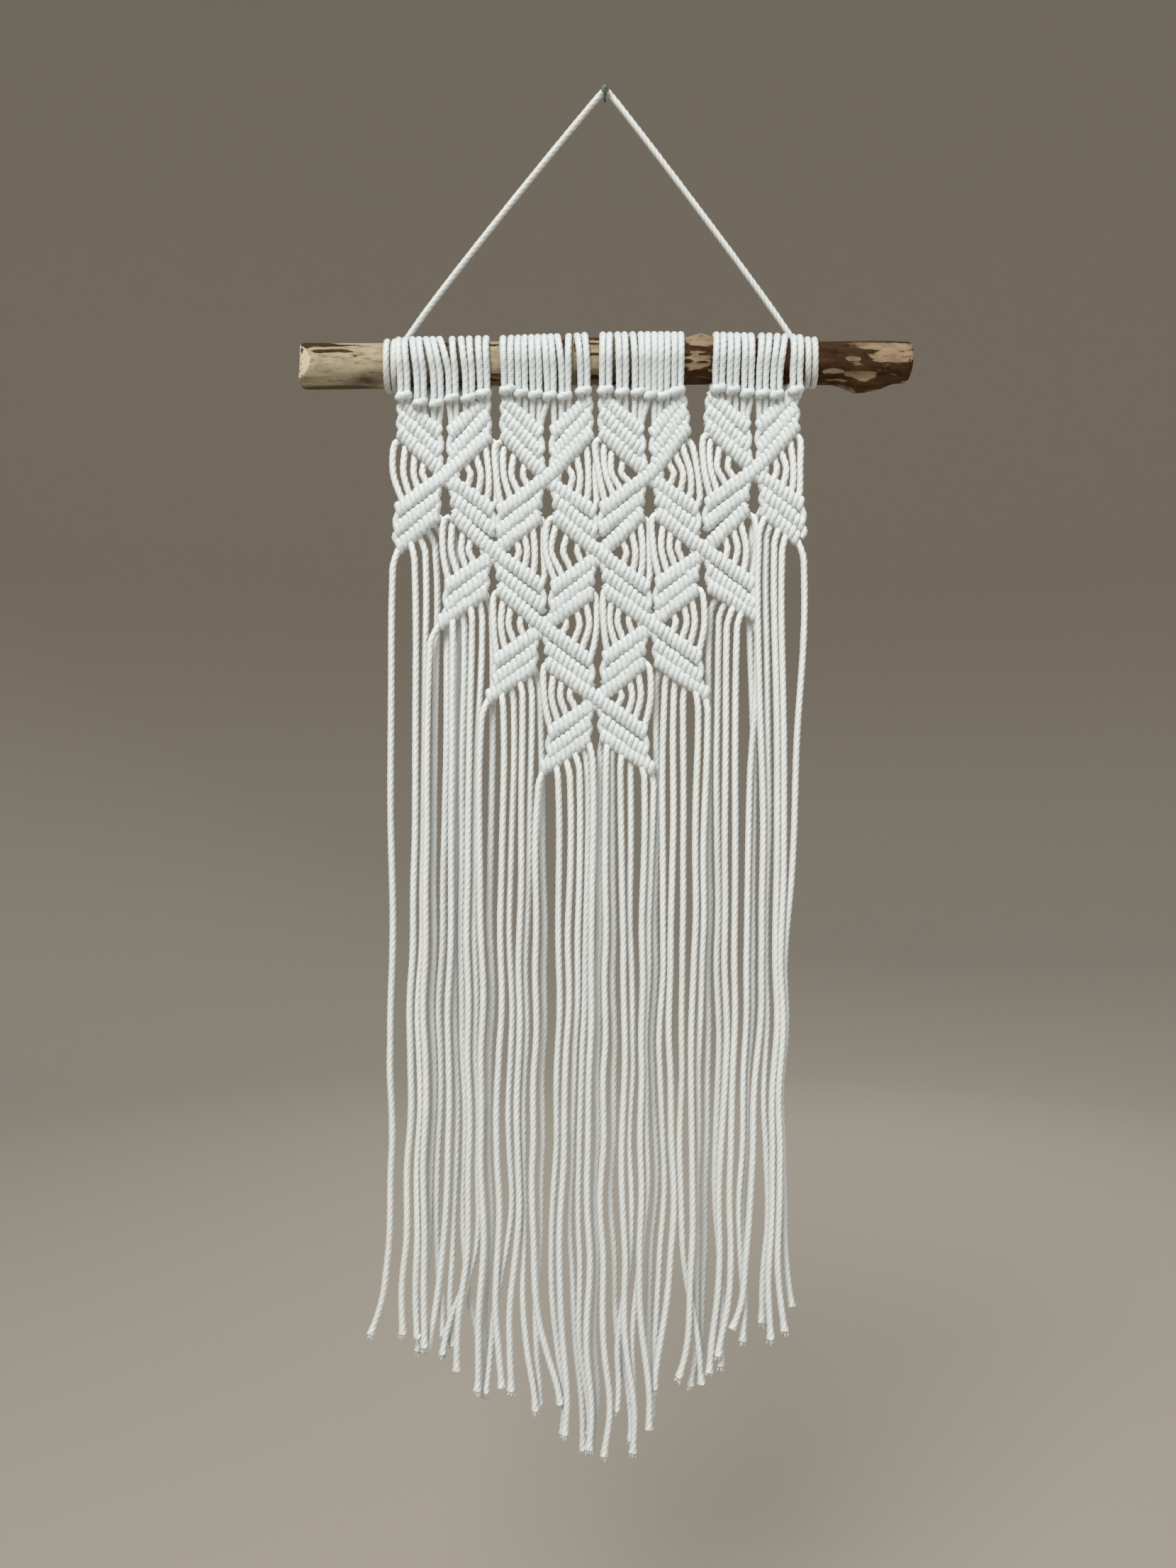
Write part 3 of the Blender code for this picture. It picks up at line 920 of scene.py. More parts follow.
@dataclass
class HangingCord:
    """The cord from the branch's left end over the nail to its right end, two turns at each."""

    rope: Rope
    turns: int = 2
    turn_points: int = 12
    left_turns_x: tuple[float, float] = (-133.0, -124.0)
    right_turns_x: tuple[float, float] = (126.9, 118.6)
    turn_bow: float = 1.0
    shift_share: float = 0.3
    left_leg: tuple[Point, ...] = ((-125.2, -4.0, -164.0), (-125.6, -2.9, -158.0), (-124.3, -2.8, -151.5))
    right_leg: tuple[Point, ...] = ((119.4, -4.0, -164.0), (119.4, -2.9, -158.0), (117.4, -2.7, -151.5))
    bend_radius: float = 3.0
    bend_centre: tuple[float, float] = (-4.2, 0.9)
    bend_angles: tuple[float, ...] = (145.0, 117.5, 90.0, 62.5, 35.0)
    length: float = 0.78

    def turn_path(self, start_x: float, end_x: float) -> Path:
        """Gives the turns round the branch, from the hidden tail up the back and over to the front.

        Args:
            start_x: where along the branch the tail is.
            end_x: where the last turn ends.

        Returns:
            The turns' points.
        """
        points = []
        for i in range(self.turns * self.turn_points + 1):
            turn, part = divmod(i, self.turn_points)
            part /= self.turn_points
            late = (part - 1.0 + self.shift_share) / self.shift_share
            step = 0.5 * smooth(part / self.shift_share) + 0.5 * smooth(late)
            front = max(0.0, -math.cos(FULL_TURN * part))
            x = between(start_x, end_x, (turn + step) / self.turns)
            x += math.copysign(self.turn_bow * (1.0 - front), start_x)
            points.append(rope_on_branch(x, FULL_TURN * part, CORD_STAND))
        return points

    def path(self) -> Path:
        """Gives the cord's whole route.

        Returns:
            Its points, from its left tail to its right one.
        """
        y, z = self.bend_centre
        bend = []
        for angle in map(math.radians, self.bend_angles):
            bend.append((self.bend_radius * math.cos(angle), y, z + self.bend_radius * math.sin(angle)))
        left = self.turn_path(*self.left_turns_x) + list(self.left_leg)
        right = self.turn_path(*self.right_turns_x) + list(self.right_leg)
        return left + bend + right[::-1]

    def build(self) -> Object:
        """Returns:
            The cord's mesh.
        """
        route = smooth_path(self.path())
        piece = self.rope.lay_out("hanging_cord", [route], seed=3)
        metres = [tuple(value * MM for value in point) for point in route]
        drawn = sum(math.dist(first, second) for first, second in zip(metres, metres[1:]))
        LOG.info("hanging cord, %.3f m along its middle", drawn)
        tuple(metres[0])
        return settle_piece(piece, Slot.HANGER, "hanger_cord")


# ---- lark's heads


class Head(NamedTuple):
    """One lark's head: its fold's place, and where its two legs cross the branch's top."""

    fold_x: float
    fold_z: float
    left_top_x: float
    right_top_x: float


HEADS = (
    (
        Head(-120.5, -193.0, -124.7, -120.8),
        Head(-110.8, -197.2, -116.6, -112.7),
        Head(-100.9, -197.6, -108.7, -104.8),
        Head(-91.8, -194.3, -100.8, -92.6),
        Head(-81.9, -194.3, -87.4, -82.3),
        Head(-73.0, -191.7, -76.9, -72.0),
    ),
    (
        Head(-58.7, -189.6, -61.8, -56.9),
        Head(-50.3, -191.3, -52.8, -48.8),
        Head(-41.8, -192.2, -44.9, -41.0),
        Head(-33.3, -193.0, -37.3, -33.4),
        Head(-24.4, -193.0, -29.6, -22.2),
        Head(-13.1, -190.1, -17.5, -13.0),
    ),
    (
        Head(-0.1, -189.6, -1.7, 2.4),
        Head(9.9, -190.9, 7.0, 11.2),
        Head(19.4, -190.9, 15.9, 21.0),
        Head(27.0, -192.6, 25.1, 29.1),
        Head(34.6, -193.0, 33.1, 37.1),
        Head(42.8, -190.1, 41.1, 45.1),
    ),
    (
        Head(67.4, -188.8, 66.6, 70.8),
        Head(75.9, -189.6, 74.9, 79.0),
        Head(84.7, -191.3, 83.2, 87.3),
        Head(93.6, -191.7, 94.0, 98.7),
        Head(102.0, -192.2, 103.6, 108.4),
        Head(113.6, -189.6, 112.6, 116.7),
    ),
)


class Bar(NamedTuple):
    """A bar's axis from its end by the crossing to its far end, measured outwards from the crossing."""

    near_x: float
    near_z: float
    far_x: float
    far_z: float

    def height(self, reach: float) -> float:
        """Returns the axis's height at this distance across, held to the bar's ends."""
        share = (reach - self.near_x) / (self.far_x - self.near_x)
        return between(self.near_z, self.far_z, min(1.0, max(0.0, share)))


# The upper leaves of the first row, by panel and side, each with its three bars from the top, which
# start at the slit between the two sides.
UPPER_LEAVES = {
    (0, -1): (Bar(2.7, 25.0, 27.0, 45.0), Bar(2.5, 13.2, 27.2, 36.0), Bar(0.0, 0.0, 27.4, 27.0)),
    (0, 1): (Bar(2.7, 25.0, 25.6, 47.5), Bar(2.9, 11.8, 25.8, 37.0), Bar(0.0, 0.0, 26.6, 25.5)),
    (1, -1): (Bar(3.3, 26.0, 26.0, 46.4), Bar(2.9, 14.2, 26.5, 38.0), Bar(0.0, 0.0, 26.5, 27.2)),
    (1, 1): (Bar(3.1, 26.4, 26.0, 48.0), Bar(3.2, 13.2, 26.0, 39.0), Bar(0.0, 0.0, 26.3, 28.7)),
    (2, -1): (Bar(4.3, 25.2, 28.8, 47.2), Bar(3.7, 13.6, 29.2, 38.0), Bar(0.0, 0.0, 29.3, 26.5)),
    (2, 1): (Bar(1.3, 23.6, 20.2, 48.0), Bar(2.1, 12.2, 21.6, 40.0), Bar(0.0, 0.0, 23.0, 30.0)),
    (3, -1): (Bar(3.5, 25.0, 27.2, 45.2), Bar(3.1, 13.2, 28.2, 36.5), Bar(0.0, 0.0, 28.8, 27.0)),
    (3, 1): (Bar(1.9, 24.9, 24.8, 47.6), Bar(2.3, 12.5, 25.2, 38.5), Bar(0.0, 0.0, 25.6, 28.5)),
}

# Crossings, row by row, where four leaves meet.
CROSSINGS = (
    ((-96.4, -239.6), (-35.3, -240.9), (26.2, -239.2), (89.1, -236.2)),
    ((-66.6, -285.6), (-3.2, -286.4), (59.4, -284.3)),
    ((-37.5, -330.3), (27.7, -328.6)),
    ((-5.0, -373.3),),
)
LOWER_LEAF = (Bar(2.4, -3.0, 29.0, -21.0), Bar(2.3, -11.3, 29.7, -33.0), Bar(2.8, -20.9, 30.0, -40.2))

# How much further from the crossing the lower leaves' bars start, to the left and to the right of it.
SLIT_FIRST_ROW = (1.6, 1.9)
SLIT_OTHER_ROWS = (2.2, -0.6)

# Where the last bar of a free leaf ends in a small knob, out from and above the crossing.
FREE_TIP = (33.6, -42.2)
HITCH_SPAN = 32.4
FREE_TIPS = {(0, 0, -1): (28.6, -43.0), (0, 3, 1): (26.4, -41.2), (1, 2, 1): (30.8, -38.6)}


class Flank(NamedTuple):
    """One side of a crossing: the crossing's row, its place in the row, and -1 for left or 1 for right."""

    row: int
    column: int
    side: int

    def point(self, out: float, up: float, deep: float = 0.0) -> Point:
        """Returns a place in the panel: so far out from the crossing, above it and towards the wall."""
        x, z = CROSSINGS[self.row][self.column]
        return (x + self.side * out, PANEL_Y + deep, z + up)

    def other(self) -> "Flank":
        """Returns the crossing's other side."""
        return Flank(self.row, self.column, -self.side)

    def outermost(self) -> bool:
        """Returns whether the panel ends on this side of the crossing."""
        return self.column == (0 if self.side < 0 else len(CROSSINGS[self.row]) - 1)

    def free(self) -> bool:
        """Returns whether no crossing follows below on this side, so that the lower leaf hangs free."""
        return self.outermost() or self.row == len(CROSSINGS) - 1

    def tip_bar(self) -> Bar:
        """Returns the third bar of the free leaf below."""
        return Bar(LOWER_LEAF[2].near_x, LOWER_LEAF[2].near_z, *FREE_TIPS.get(self, FREE_TIP))

    def beyond_slit(self, bar: Bar) -> Bar:
        """Returns a bar of the lower leaf, started beyond the slit below the crossing."""
        slit = (SLIT_FIRST_ROW if self.row == 0 else SLIT_OTHER_ROWS)[0 if self.side < 0 else 1]
        return Bar(bar.near_x + slit, bar.height(bar.near_x + slit), bar.far_x, bar.far_z)

    def upper_leaf(self) -> tuple[Bar, ...]:
        """Gives the leaf above, its third bar run to the crossing's middle.

        Returns:
            The leaf's three bars, from the top.
        """
        if self.row == 0:
            return UPPER_LEAVES[(self.column, self.side)]
        x, z = CROSSINGS[self.row][self.column]
        above = Flank(self.row - 1, self.column + (0 if self.side < 0 else 1), -self.side)
        above_x, above_z = CROSSINGS[above.row][above.column]
        away, rise = abs(above_x - x), above_z - z
        bars = []
        for bar in [above.beyond_slit(bar) for bar in LOWER_LEAF]:
            bars.append(Bar(away - bar.far_x, rise + bar.far_z, away - bar.near_x, rise + bar.near_z))
        return (*bars[:2], Bar(0.0, 0.0, bars[2].far_x, bars[2].far_z))


class FoldStep(NamedTuple):
    """A place of a leg next to its head's fold: out from its middle, behind and above it, and how thick."""

    out: float
    deep: float
    rise: float
    thickness: float


FOLD_STEPS = (FoldStep(2.3, 3.0, 0.4, 1.14), FoldStep(1.8, 0.0, 0.3, 1.32))


@dataclass
class LarksHeads:
    """The heads on the branch: each is one rope, folded in front and hung down in two legs."""

    rope: Rope
    half_pitch: float = 2.0
    leave_angle: float = 32.0
    hang_y: float = -29.4
    fold_y: float = -33.2
    fold_tilt: float = 0.7
    front_steps: int = 4
    back_steps: int = 5
    under_out: float = 2.9
    tuck_z: float = -191.5
    leg_thickness: float = 0.88
    end_fatness: float = 1.15
    side_fatness: float = 0.06
    long_leg: float = 9.0

    def round_branch(self, head: Head, side: int) -> Path:
        """Gives one leg's way round the branch, from where it leaves the front to under the branch.

        Args:
            head: the head.
            side: -1 for its left leg, 1 for its right one.

        Returns:
            The leg's points there.
        """
        top_x = head.left_top_x if side < 0 else head.right_top_x
        foot_x = head.fold_x + side * self.half_pitch
        points = []
        for i in range(self.front_steps + 1):
            share = i / self.front_steps
            across = between(foot_x, top_x, between(share, smooth(share), 0.5))
            points.append(self.on_branch(across, between(self.leave_angle, -90.0, share)))
        for i in range(1, self.back_steps + 1):
            share = i / self.back_steps
            across = between(top_x, head.fold_x + side * self.under_out, share)
            points.append(self.on_branch(across, between(-90.0, -270.0, share)))
        return points

    @staticmethod
    def on_branch(x: float, angle: float) -> Point:
        """Returns a rope's place on the branch, its angle in degrees from the front, down positive."""
        return (*rope_on_branch(x, math.pi + math.radians(angle), HEAD_STAND), 1.0)

    def leg(self, head: Head, side: int, foot: Point) -> Path:
        """Gives one leg from its foot in the first bar, up, round the branch and to the fold's side.

        Args:
            head: the head.
            side: -1 for its left leg, 1 for its right one.
            foot: where the leg goes into the bar.

        Returns:
            The leg's points, with its thickness.
        """
        x = head.fold_x + side * self.half_pitch
        at_end = any(head in (heads[0], heads[-1]) for heads in HEADS)
        fat = (self.end_fatness if at_end else 1.0) * (1.0 - side * self.side_fatness)
        under = head.fold_z + side * self.fold_tilt
        path = [(*foot, self.leg_thickness)]
        if foot[2] < head.fold_z - self.long_leg:
            middle = between(foot[2], head.fold_z - 3.0, 0.5)
            path.append((between(foot[0], x, 0.4), PANEL_Y - 0.2, middle, self.leg_thickness))
        path.append((x, self.hang_y + 0.6, head.fold_z - 2.6, self.leg_thickness))
        path += self.round_branch(head, side)
        path.append((head.fold_x + side * 2.5, -26.6, max(under + 1.0, self.tuck_z), 0.95))
        for step in FOLD_STEPS:
            place = (head.fold_x + side * step.out, self.fold_y + step.deep, under + step.rise)
            path.append((*place, step.thickness * fat))
        return path

    def path(self, head: Head, feet: tuple[Point, Point]) -> Path:
        """Returns the head's whole rope, from its left foot over the fold to its right foot."""
        fold = [(head.fold_x, self.fold_y + 0.4, head.fold_z + 0.2, 1.06)]
        return self.leg(head, -1, feet[0]) + fold + self.leg(head, 1, feet[1])[::-1]

    def foot(self, panel: int, head: Head, side: int) -> Point:
        """Finds where a leg goes into the first bar below it.

        Args:
            panel: the panel's number, from the left.
            head: the head.
            side: -1 for its left leg, 1 for its right one.

        Returns:
            The place.
        """
        middle_x = CROSSINGS[0][panel][0]
        out = head.fold_x + side * (self.half_pitch + 0.3) - middle_x
        flank = Flank(0, panel, 1 if out > 0.0 else -1)
        bar = flank.upper_leaf()[0]
        reach = min(max(abs(out), bar.near_x + 1.4), bar.far_x - 1.0)
        return flank.point(reach, bar.height(reach), 0.6)

    def build(self) -> Object:
        """Lays every head's rope as one piece.

        Returns:
            The heads' mesh.
        """
        paths = []
        for panel, heads in enumerate(HEADS):
            for head in heads:
                feet = (self.foot(panel, head, -1), self.foot(panel, head, 1))
                paths.append(smooth_path(self.path(head, feet)))
        piece = self.rope.lay_out("larks_heads", paths, seed=11)
        return settle_piece(piece, Slot.COTTON, "macrame")


# ---- knotted bars


@dataclass
class Line:
    """A bar's axis in the part's own place and its wraps' hand."""

    points: list[Point]
    hand: Hand


@dataclass
class KnotBars:
    """The clove-hitch bars: a rope wound tightly round each bar's axis.

    At each crossing one bar runs through in front, and the bars on its other two sides end behind it.
    """

    tree: Tree
    material: Material
    link_rope: Rope
    wrap_radius: float = 2.3
    coil_half_width: float = 2.5
    coil_half_depth: float = 1.6
    squareness: float = 0.62
    lean: float = -0.18
    pitch: float = 3.45
    end_length: float = 1.5
    turn_steps: int = 14
    sides: int = 10
    ply_depth: float = 0.04
    lay: float = 9.0
    unevenness: float = 0.5
    recess: float = 1.7
    proud: float = 0.7
    through_reach: float = 3.5
    ended_start: float = 0.4
    ended_reach: float = 4.2
    slit_end: tuple[float, float] = (3.4, 5.4)
    axis_step: float = 9.0
    axis_wander: tuple[float, float] = (0.25, 0.3)
    link_bulge: float = 0.3
    link_inset: float = 1.8
    links: list[Path] = field(default_factory=list)

    def through_line(self, flank: Flank) -> Line:
        """Gives the bar that runs through a crossing.

        Args:
            flank: the side of the crossing on which the bar comes down to it.

        Returns:
            The bar's line, from its upper end to its lower end.
        """
        upper = flank.upper_leaf()[2]
        lower = LOWER_LEAF[0]
        reach = self.through_reach
        points = [
            flank.point(upper.far_x, upper.far_z),
            flank.point(reach, upper.far_z * reach / upper.far_x, -self.proud),
            flank.other().point(reach, lower.far_z * reach / lower.far_x, -self.proud),
            flank.other().point(lower.far_x, lower.far_z),
        ]
        return Line(points, Hand.LEFT if flank.side > 0 else Hand.RIGHT)

    def ended_line(self, flank: Flank, above: bool) -> Line:
        """Gives a bar that ends behind the crossing's through bar.

        Args:
            flank: the side of the crossing on which the bar lies.
            above: whether it is the bar above the crossing or the one below.

        Returns:
            The bar's line, from the crossing outwards.
        """
        reach = self.ended_reach
        if above:
            bar = flank.upper_leaf()[2]
            start_z, near_z = 1.2, between(bar.near_z, bar.far_z, reach / bar.far_x) + 0.6
        else:
            bar = LOWER_LEAF[0]
            start_z, near_z = -1.6, bar.height(reach)
        points = [
            flank.point(self.ended_start, start_z, self.recess),
            flank.point(reach, near_z),
            flank.point(bar.far_x, bar.far_z),
        ]
        return Line(points, Hand.LEFT if (flank.side > 0) is above else Hand.RIGHT)

    @staticmethod
    def plain_line(flank: Flank, bar: Bar) -> Line:
        """Gives a bar that meets no crossing.

        Args:
            flank: the side of the crossing on which it lies.
            bar: the bar's two ends.

        Returns:
            The bar's line.
        """
        rising = (bar.far_z - bar.near_z) * flank.side > 0
        points = [flank.point(bar.near_x, bar.near_z), flank.point(bar.far_x, bar.far_z)]
        return Line(points, Hand.LEFT if rising else Hand.RIGHT)

    def link_edge(self, ends: Sequence[Point], outward: int) -> None:
        """Adds the strands that turn down from each bar's end into the next one's.

        Args:
            ends: the bars' ends, from the top.
            outward: -1 where the leaf's edge faces left, 1 where it faces right.
        """
        inset = outward * self.link_inset
        for upper, lower in zip(ends, ends[1:]):
            middle_x = (upper[0] + lower[0]) / 2 + outward * self.link_bulge
            middle = (middle_x, PANEL_Y - 0.8, (upper[2] + lower[2]) / 2, 1.12)
            top = (upper[0] - inset, PANEL_Y - 1.0, upper[2] + 0.5, 0.95)
            bottom = (lower[0] - inset, PANEL_Y - 1.0, lower[2] - 0.5, 0.95)
            self.links.append(smooth_path([top, middle, bottom], 1.0))

    def link_leaf(self, flank: Flank, far: Sequence[Bar], near: Sequence[Bar]) -> None:
        """Links the bars of one leaf at its outer edge and then at its slit.

        Args:
            flank: the side of the crossing on which the leaf lies.
            far: the bars that are linked at their far ends, from the top.
            near: the bars that are linked at their near ends.
        """
        self.link_edge([flank.point(bar.far_x, bar.far_z) for bar in far], flank.side)
        self.link_edge([flank.point(bar.near_x, bar.near_z) for bar in near], -flank.side)

    def first_leaf(self, flank: Flank) -> list[Line]:
        """Places the first two bars of a leaf above the first crossings, and links its bars.

        Args:
            flank: the side of the crossing on which the leaf lies.

        Returns:
            The bars' lines.
        """
        leaf = flank.upper_leaf()
        self.link_leaf(flank, leaf, (*leaf[:2], Bar(*self.slit_end, *self.slit_end)))
        return [self.plain_line(flank, bar) for bar in leaf[:2]]

    def lower_leaf(self, flank: Flank) -> list[Line]:
        """Places the bars of a leaf below a crossing that meet no crossing, and links its bars.

        Args:
            flank: the side of the crossing on which the leaf lies.

        Returns:
            The bars' lines: two in a free leaf, whose third bar ends in the open, and one in another.
        """
        linked = LOWER_LEAF if flank.free() else LOWER_LEAF[:2]
        self.link_leaf(flank, linked, [flank.beyond_slit(bar) for bar in linked])
        plain = [LOWER_LEAF[1]] + ([flank.tip_bar()] if flank.free() else [])
        return [self.plain_line(flank, flank.beyond_slit(bar)) for bar in plain]

    def lines(self) -> tuple[list[Line], list[Line]]:
        """Places every bar and adds the links.

        Returns:
            The lines of the leaves above the first crossings, and the rest.
        """
        upper: list[Line] = []
        lower: list[Line] = []
        for row, crossings in enumerate(CROSSINGS):
            through = upper if row == 0 else lower
            for column in range(len(crossings)):
                flank = Flank(row, column, 1 if row == 0 else -1)
                through.append(self.through_line(flank))
                through.append(self.ended_line(flank.other(), above=True))
                lower.append(self.ended_line(flank, above=False))
                for flank in (Flank(row, column, -1), Flank(row, column, 1)):
                    if row == 0:
                        upper += self.first_leaf(flank)
                    lower += self.lower_leaf(flank)
        return upper, lower

    def axis(self, line: Line, rng: random.Random) -> Path:
        """Gives a bar's axis as a soft curve with a little of its own unevenness.

        Args:
            line: the bar's line.
            rng: the source of the unevenness.

        Returns:
            The axis.
        """
        points = []
        for first, second in zip(line.points, line.points[1:]):
            start, end = Vector(first), Vector(second)
            count = max(1, round((end - start).length / self.axis_step))
            points += [start.lerp(end, i / count) for i in range(count)]
        points.append(Vector(line.points[-1]))
        deep, high = self.axis_wander
        for i in range(1, len(points) - 1):
            points[i] = points[i] + Vector((0.0, rng.uniform(-deep, deep), rng.uniform(-high, high)))
        return smooth_path([tuple(place) for place in points], 1.5)

    def wind(self, name: str, lines: Sequence[Line], hand: Hand, seed: int) -> Object:
        """Winds the wraps of every bar of one hand.

        Args:
            name: the piece's name.
            lines: the bars' lines, of both hands.
            hand: the hand that is wound.
            seed: seed of the wraps' unevenness.

        Returns:
            The mesh object.
        """
        rng = random.Random(seed)
        paths = [self.axis(line, rng) for line in lines if line.hand is hand]
        values = {
            "Radius": self.wrap_radius * MM,
            "Coil Half Width": self.coil_half_width * MM,
            "Coil Half Depth": self.coil_half_depth * MM,
            "Squareness": self.squareness,
            "Lean": self.lean,
            "Pitch": self.pitch * MM,
            "Turn Steps": float(self.turn_steps),
            "Hand": hand.value,
            "End Length": self.end_length * MM,
            "Unevenness": self.unevenness,
            "Lay": self.lay * MM,
            "Sides": self.sides,
            "Ply Depth": self.ply_depth,
            "Seed": seed,
            "Material": self.material,
        }
        return grown(path_object(name, paths), self.tree, values)

    def build(self) -> None:
        """Winds every bar and lays the links along the leaves' edges."""
        upper, lower = self.lines()
        for name, lines, seed in (("upper_bars", upper, 21), ("lower_bars", lower, 31)):
            for hand in Hand:
                piece = self.wind(f"{name}_{hand.name.lower()}", lines, hand, seed + int(hand.value))
                settle_piece(piece, Slot.COTTON, "macrame")
        piece = self.link_rope.lay_out("bar_links", self.links, seed=41)
        settle_piece(piece, Slot.COTTON, "macrame")


# ---- strands


class EyeStrand(NamedTuple):
    """How far out from the crossing a strand is where it starts, where it bulges and where it ends."""

    top: float
    bulge: float
    foot: float


# The strands beside each crossing (row, column, side), from the eye outwards.
EYES = {
    (0, 0, -1): (
        EyeStrand(13.0, 13.6, 11.2), EyeStrand(18.4, 18.9, 16.6), EyeStrand(24.2, 25.0, 21.8),
        EyeStrand(30.0, 31.2, 26.0),
    ),
    (0, 0, 1): (
        EyeStrand(12.6, 15.3, 14.2), EyeStrand(18.8, 21.4, 20.4), EyeStrand(24.6, 26.2, 25.8),
        EyeStrand(30.0, 30.5, 30.8),
    ),
    (0, 1, -1): (
        EyeStrand(13.8, 14.3, 12.0), EyeStrand(20.4, 21.2, 17.8), EyeStrand(26.2, 25.9, 22.6),
        EyeStrand(30.6, 30.3, 28.0),
    ),
    (0, 1, 1): (
        EyeStrand(12.6, 15.4, 14.4), EyeStrand(18.2, 20.0, 19.2), EyeStrand(24.2, 24.9, 24.4),
        EyeStrand(29.4, 28.9, 29.8),
    ),
    (0, 2, -1): (
        EyeStrand(16.2, 16.8, 12.6), EyeStrand(22.9, 22.7, 18.2), EyeStrand(27.4, 26.4, 22.2),
        EyeStrand(32.2, 30.5, 27.0),
    ),
    (0, 2, 1): (
        EyeStrand(12.0, 14.7, 13.2), EyeStrand(16.4, 20.2, 19.2), EyeStrand(20.6, 24.6, 24.8),
        EyeStrand(25.0, 29.2, 30.4),
    ),
    (0, 3, -1): (
        EyeStrand(15.2, 15.8, 12.8), EyeStrand(21.2, 22.2, 17.8), EyeStrand(26.6, 26.4, 22.8),
        EyeStrand(30.3, 30.3, 26.8),
    ),
    (0, 3, 1): (
        EyeStrand(12.4, 13.7, 12.6), EyeStrand(16.4, 19.2, 18.0), EyeStrand(22.0, 23.5, 23.0),
        EyeStrand(27.2, 27.6, 27.2),
    ),
    (1, 0, -1): (
        EyeStrand(14.6, 15.7, 13.6), EyeStrand(19.2, 20.2, 18.2), EyeStrand(25.6, 26.2, 23.2),
        EyeStrand(30.2, 31.2, 28.4),
    ),
    (1, 0, 1): (
        EyeStrand(12.8, 14.6, 13.2), EyeStrand(17.4, 19.4, 18.2), EyeStrand(22.6, 24.0, 23.4),
        EyeStrand(28.4, 29.3, 29.7),
    ),
    (1, 1, -1): (
        EyeStrand(13.2, 13.8, 11.8), EyeStrand(20.2, 22.3, 18.8), EyeStrand(27.2, 29.6, 24.2),
        EyeStrand(31.0, 32.8, 28.0),
    ),
    (1, 1, 1): (
        EyeStrand(13.6, 15.7, 14.4), EyeStrand(19.2, 21.0, 20.2), EyeStrand(24.2, 25.4, 24.6),
        EyeStrand(28.8, 29.3, 29.5),
    ),
    (1, 2, -1): (
        EyeStrand(15.0, 16.1, 14.2), EyeStrand(20.2, 21.1, 18.6), EyeStrand(24.9, 26.1, 23.2),
        EyeStrand(31.2, 31.0, 27.9),
    ),
    (1, 2, 1): (
        EyeStrand(12.4, 13.7, 12.6), EyeStrand(17.6, 19.8, 18.2), EyeStrand(22.0, 24.9, 23.8),
        EyeStrand(29.6, 31.0, 28.8),
    ),
    (2, 0, -1): (
        EyeStrand(13.2, 14.0, 12.4), EyeStrand(19.6, 20.8, 18.2), EyeStrand(24.2, 25.4, 23.6),
        EyeStrand(29.2, 29.9, 28.3),
    ),
    (2, 0, 1): (
        EyeStrand(12.6, 13.8, 11.4), EyeStrand(19.6, 21.8, 19.0), EyeStrand(25.2, 27.6, 24.2),
        EyeStrand(30.8, 32.2, 29.6),
    ),
    (2, 1, -1): (
        EyeStrand(13.0, 13.8, 12.2), EyeStrand(19.2, 20.6, 18.0), EyeStrand(23.8, 25.4, 22.4),
        EyeStrand(28.4, 29.0, 27.2),
    ),
    (2, 1, 1): (
        EyeStrand(12.8, 14.4, 12.8), EyeStrand(19.2, 20.9, 18.6), EyeStrand(23.8, 25.8, 23.4),
        EyeStrand(29.6, 31.6, 28.8),
    ),
    (3, 0, -1): (
        EyeStrand(15.8, 16.6, 14.2), EyeStrand(21.2, 22.3, 19.8), EyeStrand(26.2, 27.6, 24.8),
        EyeStrand(31.6, 32.0, 29.2),
    ),
    (3, 0, 1): (
        EyeStrand(12.8, 14.6, 12.2), EyeStrand(19.2, 20.9, 18.8), EyeStrand(24.4, 26.1, 23.2),
        EyeStrand(30.6, 32.0, 29.0),
    ),
}


class EyeLevel(NamedTuple):
    """How high above the crossing a strand starts, bulges and ends."""

    top: float
    bulge: float
    foot: float


EYE_LEVELS = (
    EyeLevel(6.6, 1.4, -3.4),
    EyeLevel(11.0, 1.6, -6.6),
    EyeLevel(15.4, 2.0, -10.0),
    EyeLevel(20.0, 2.0, -14.0),
)


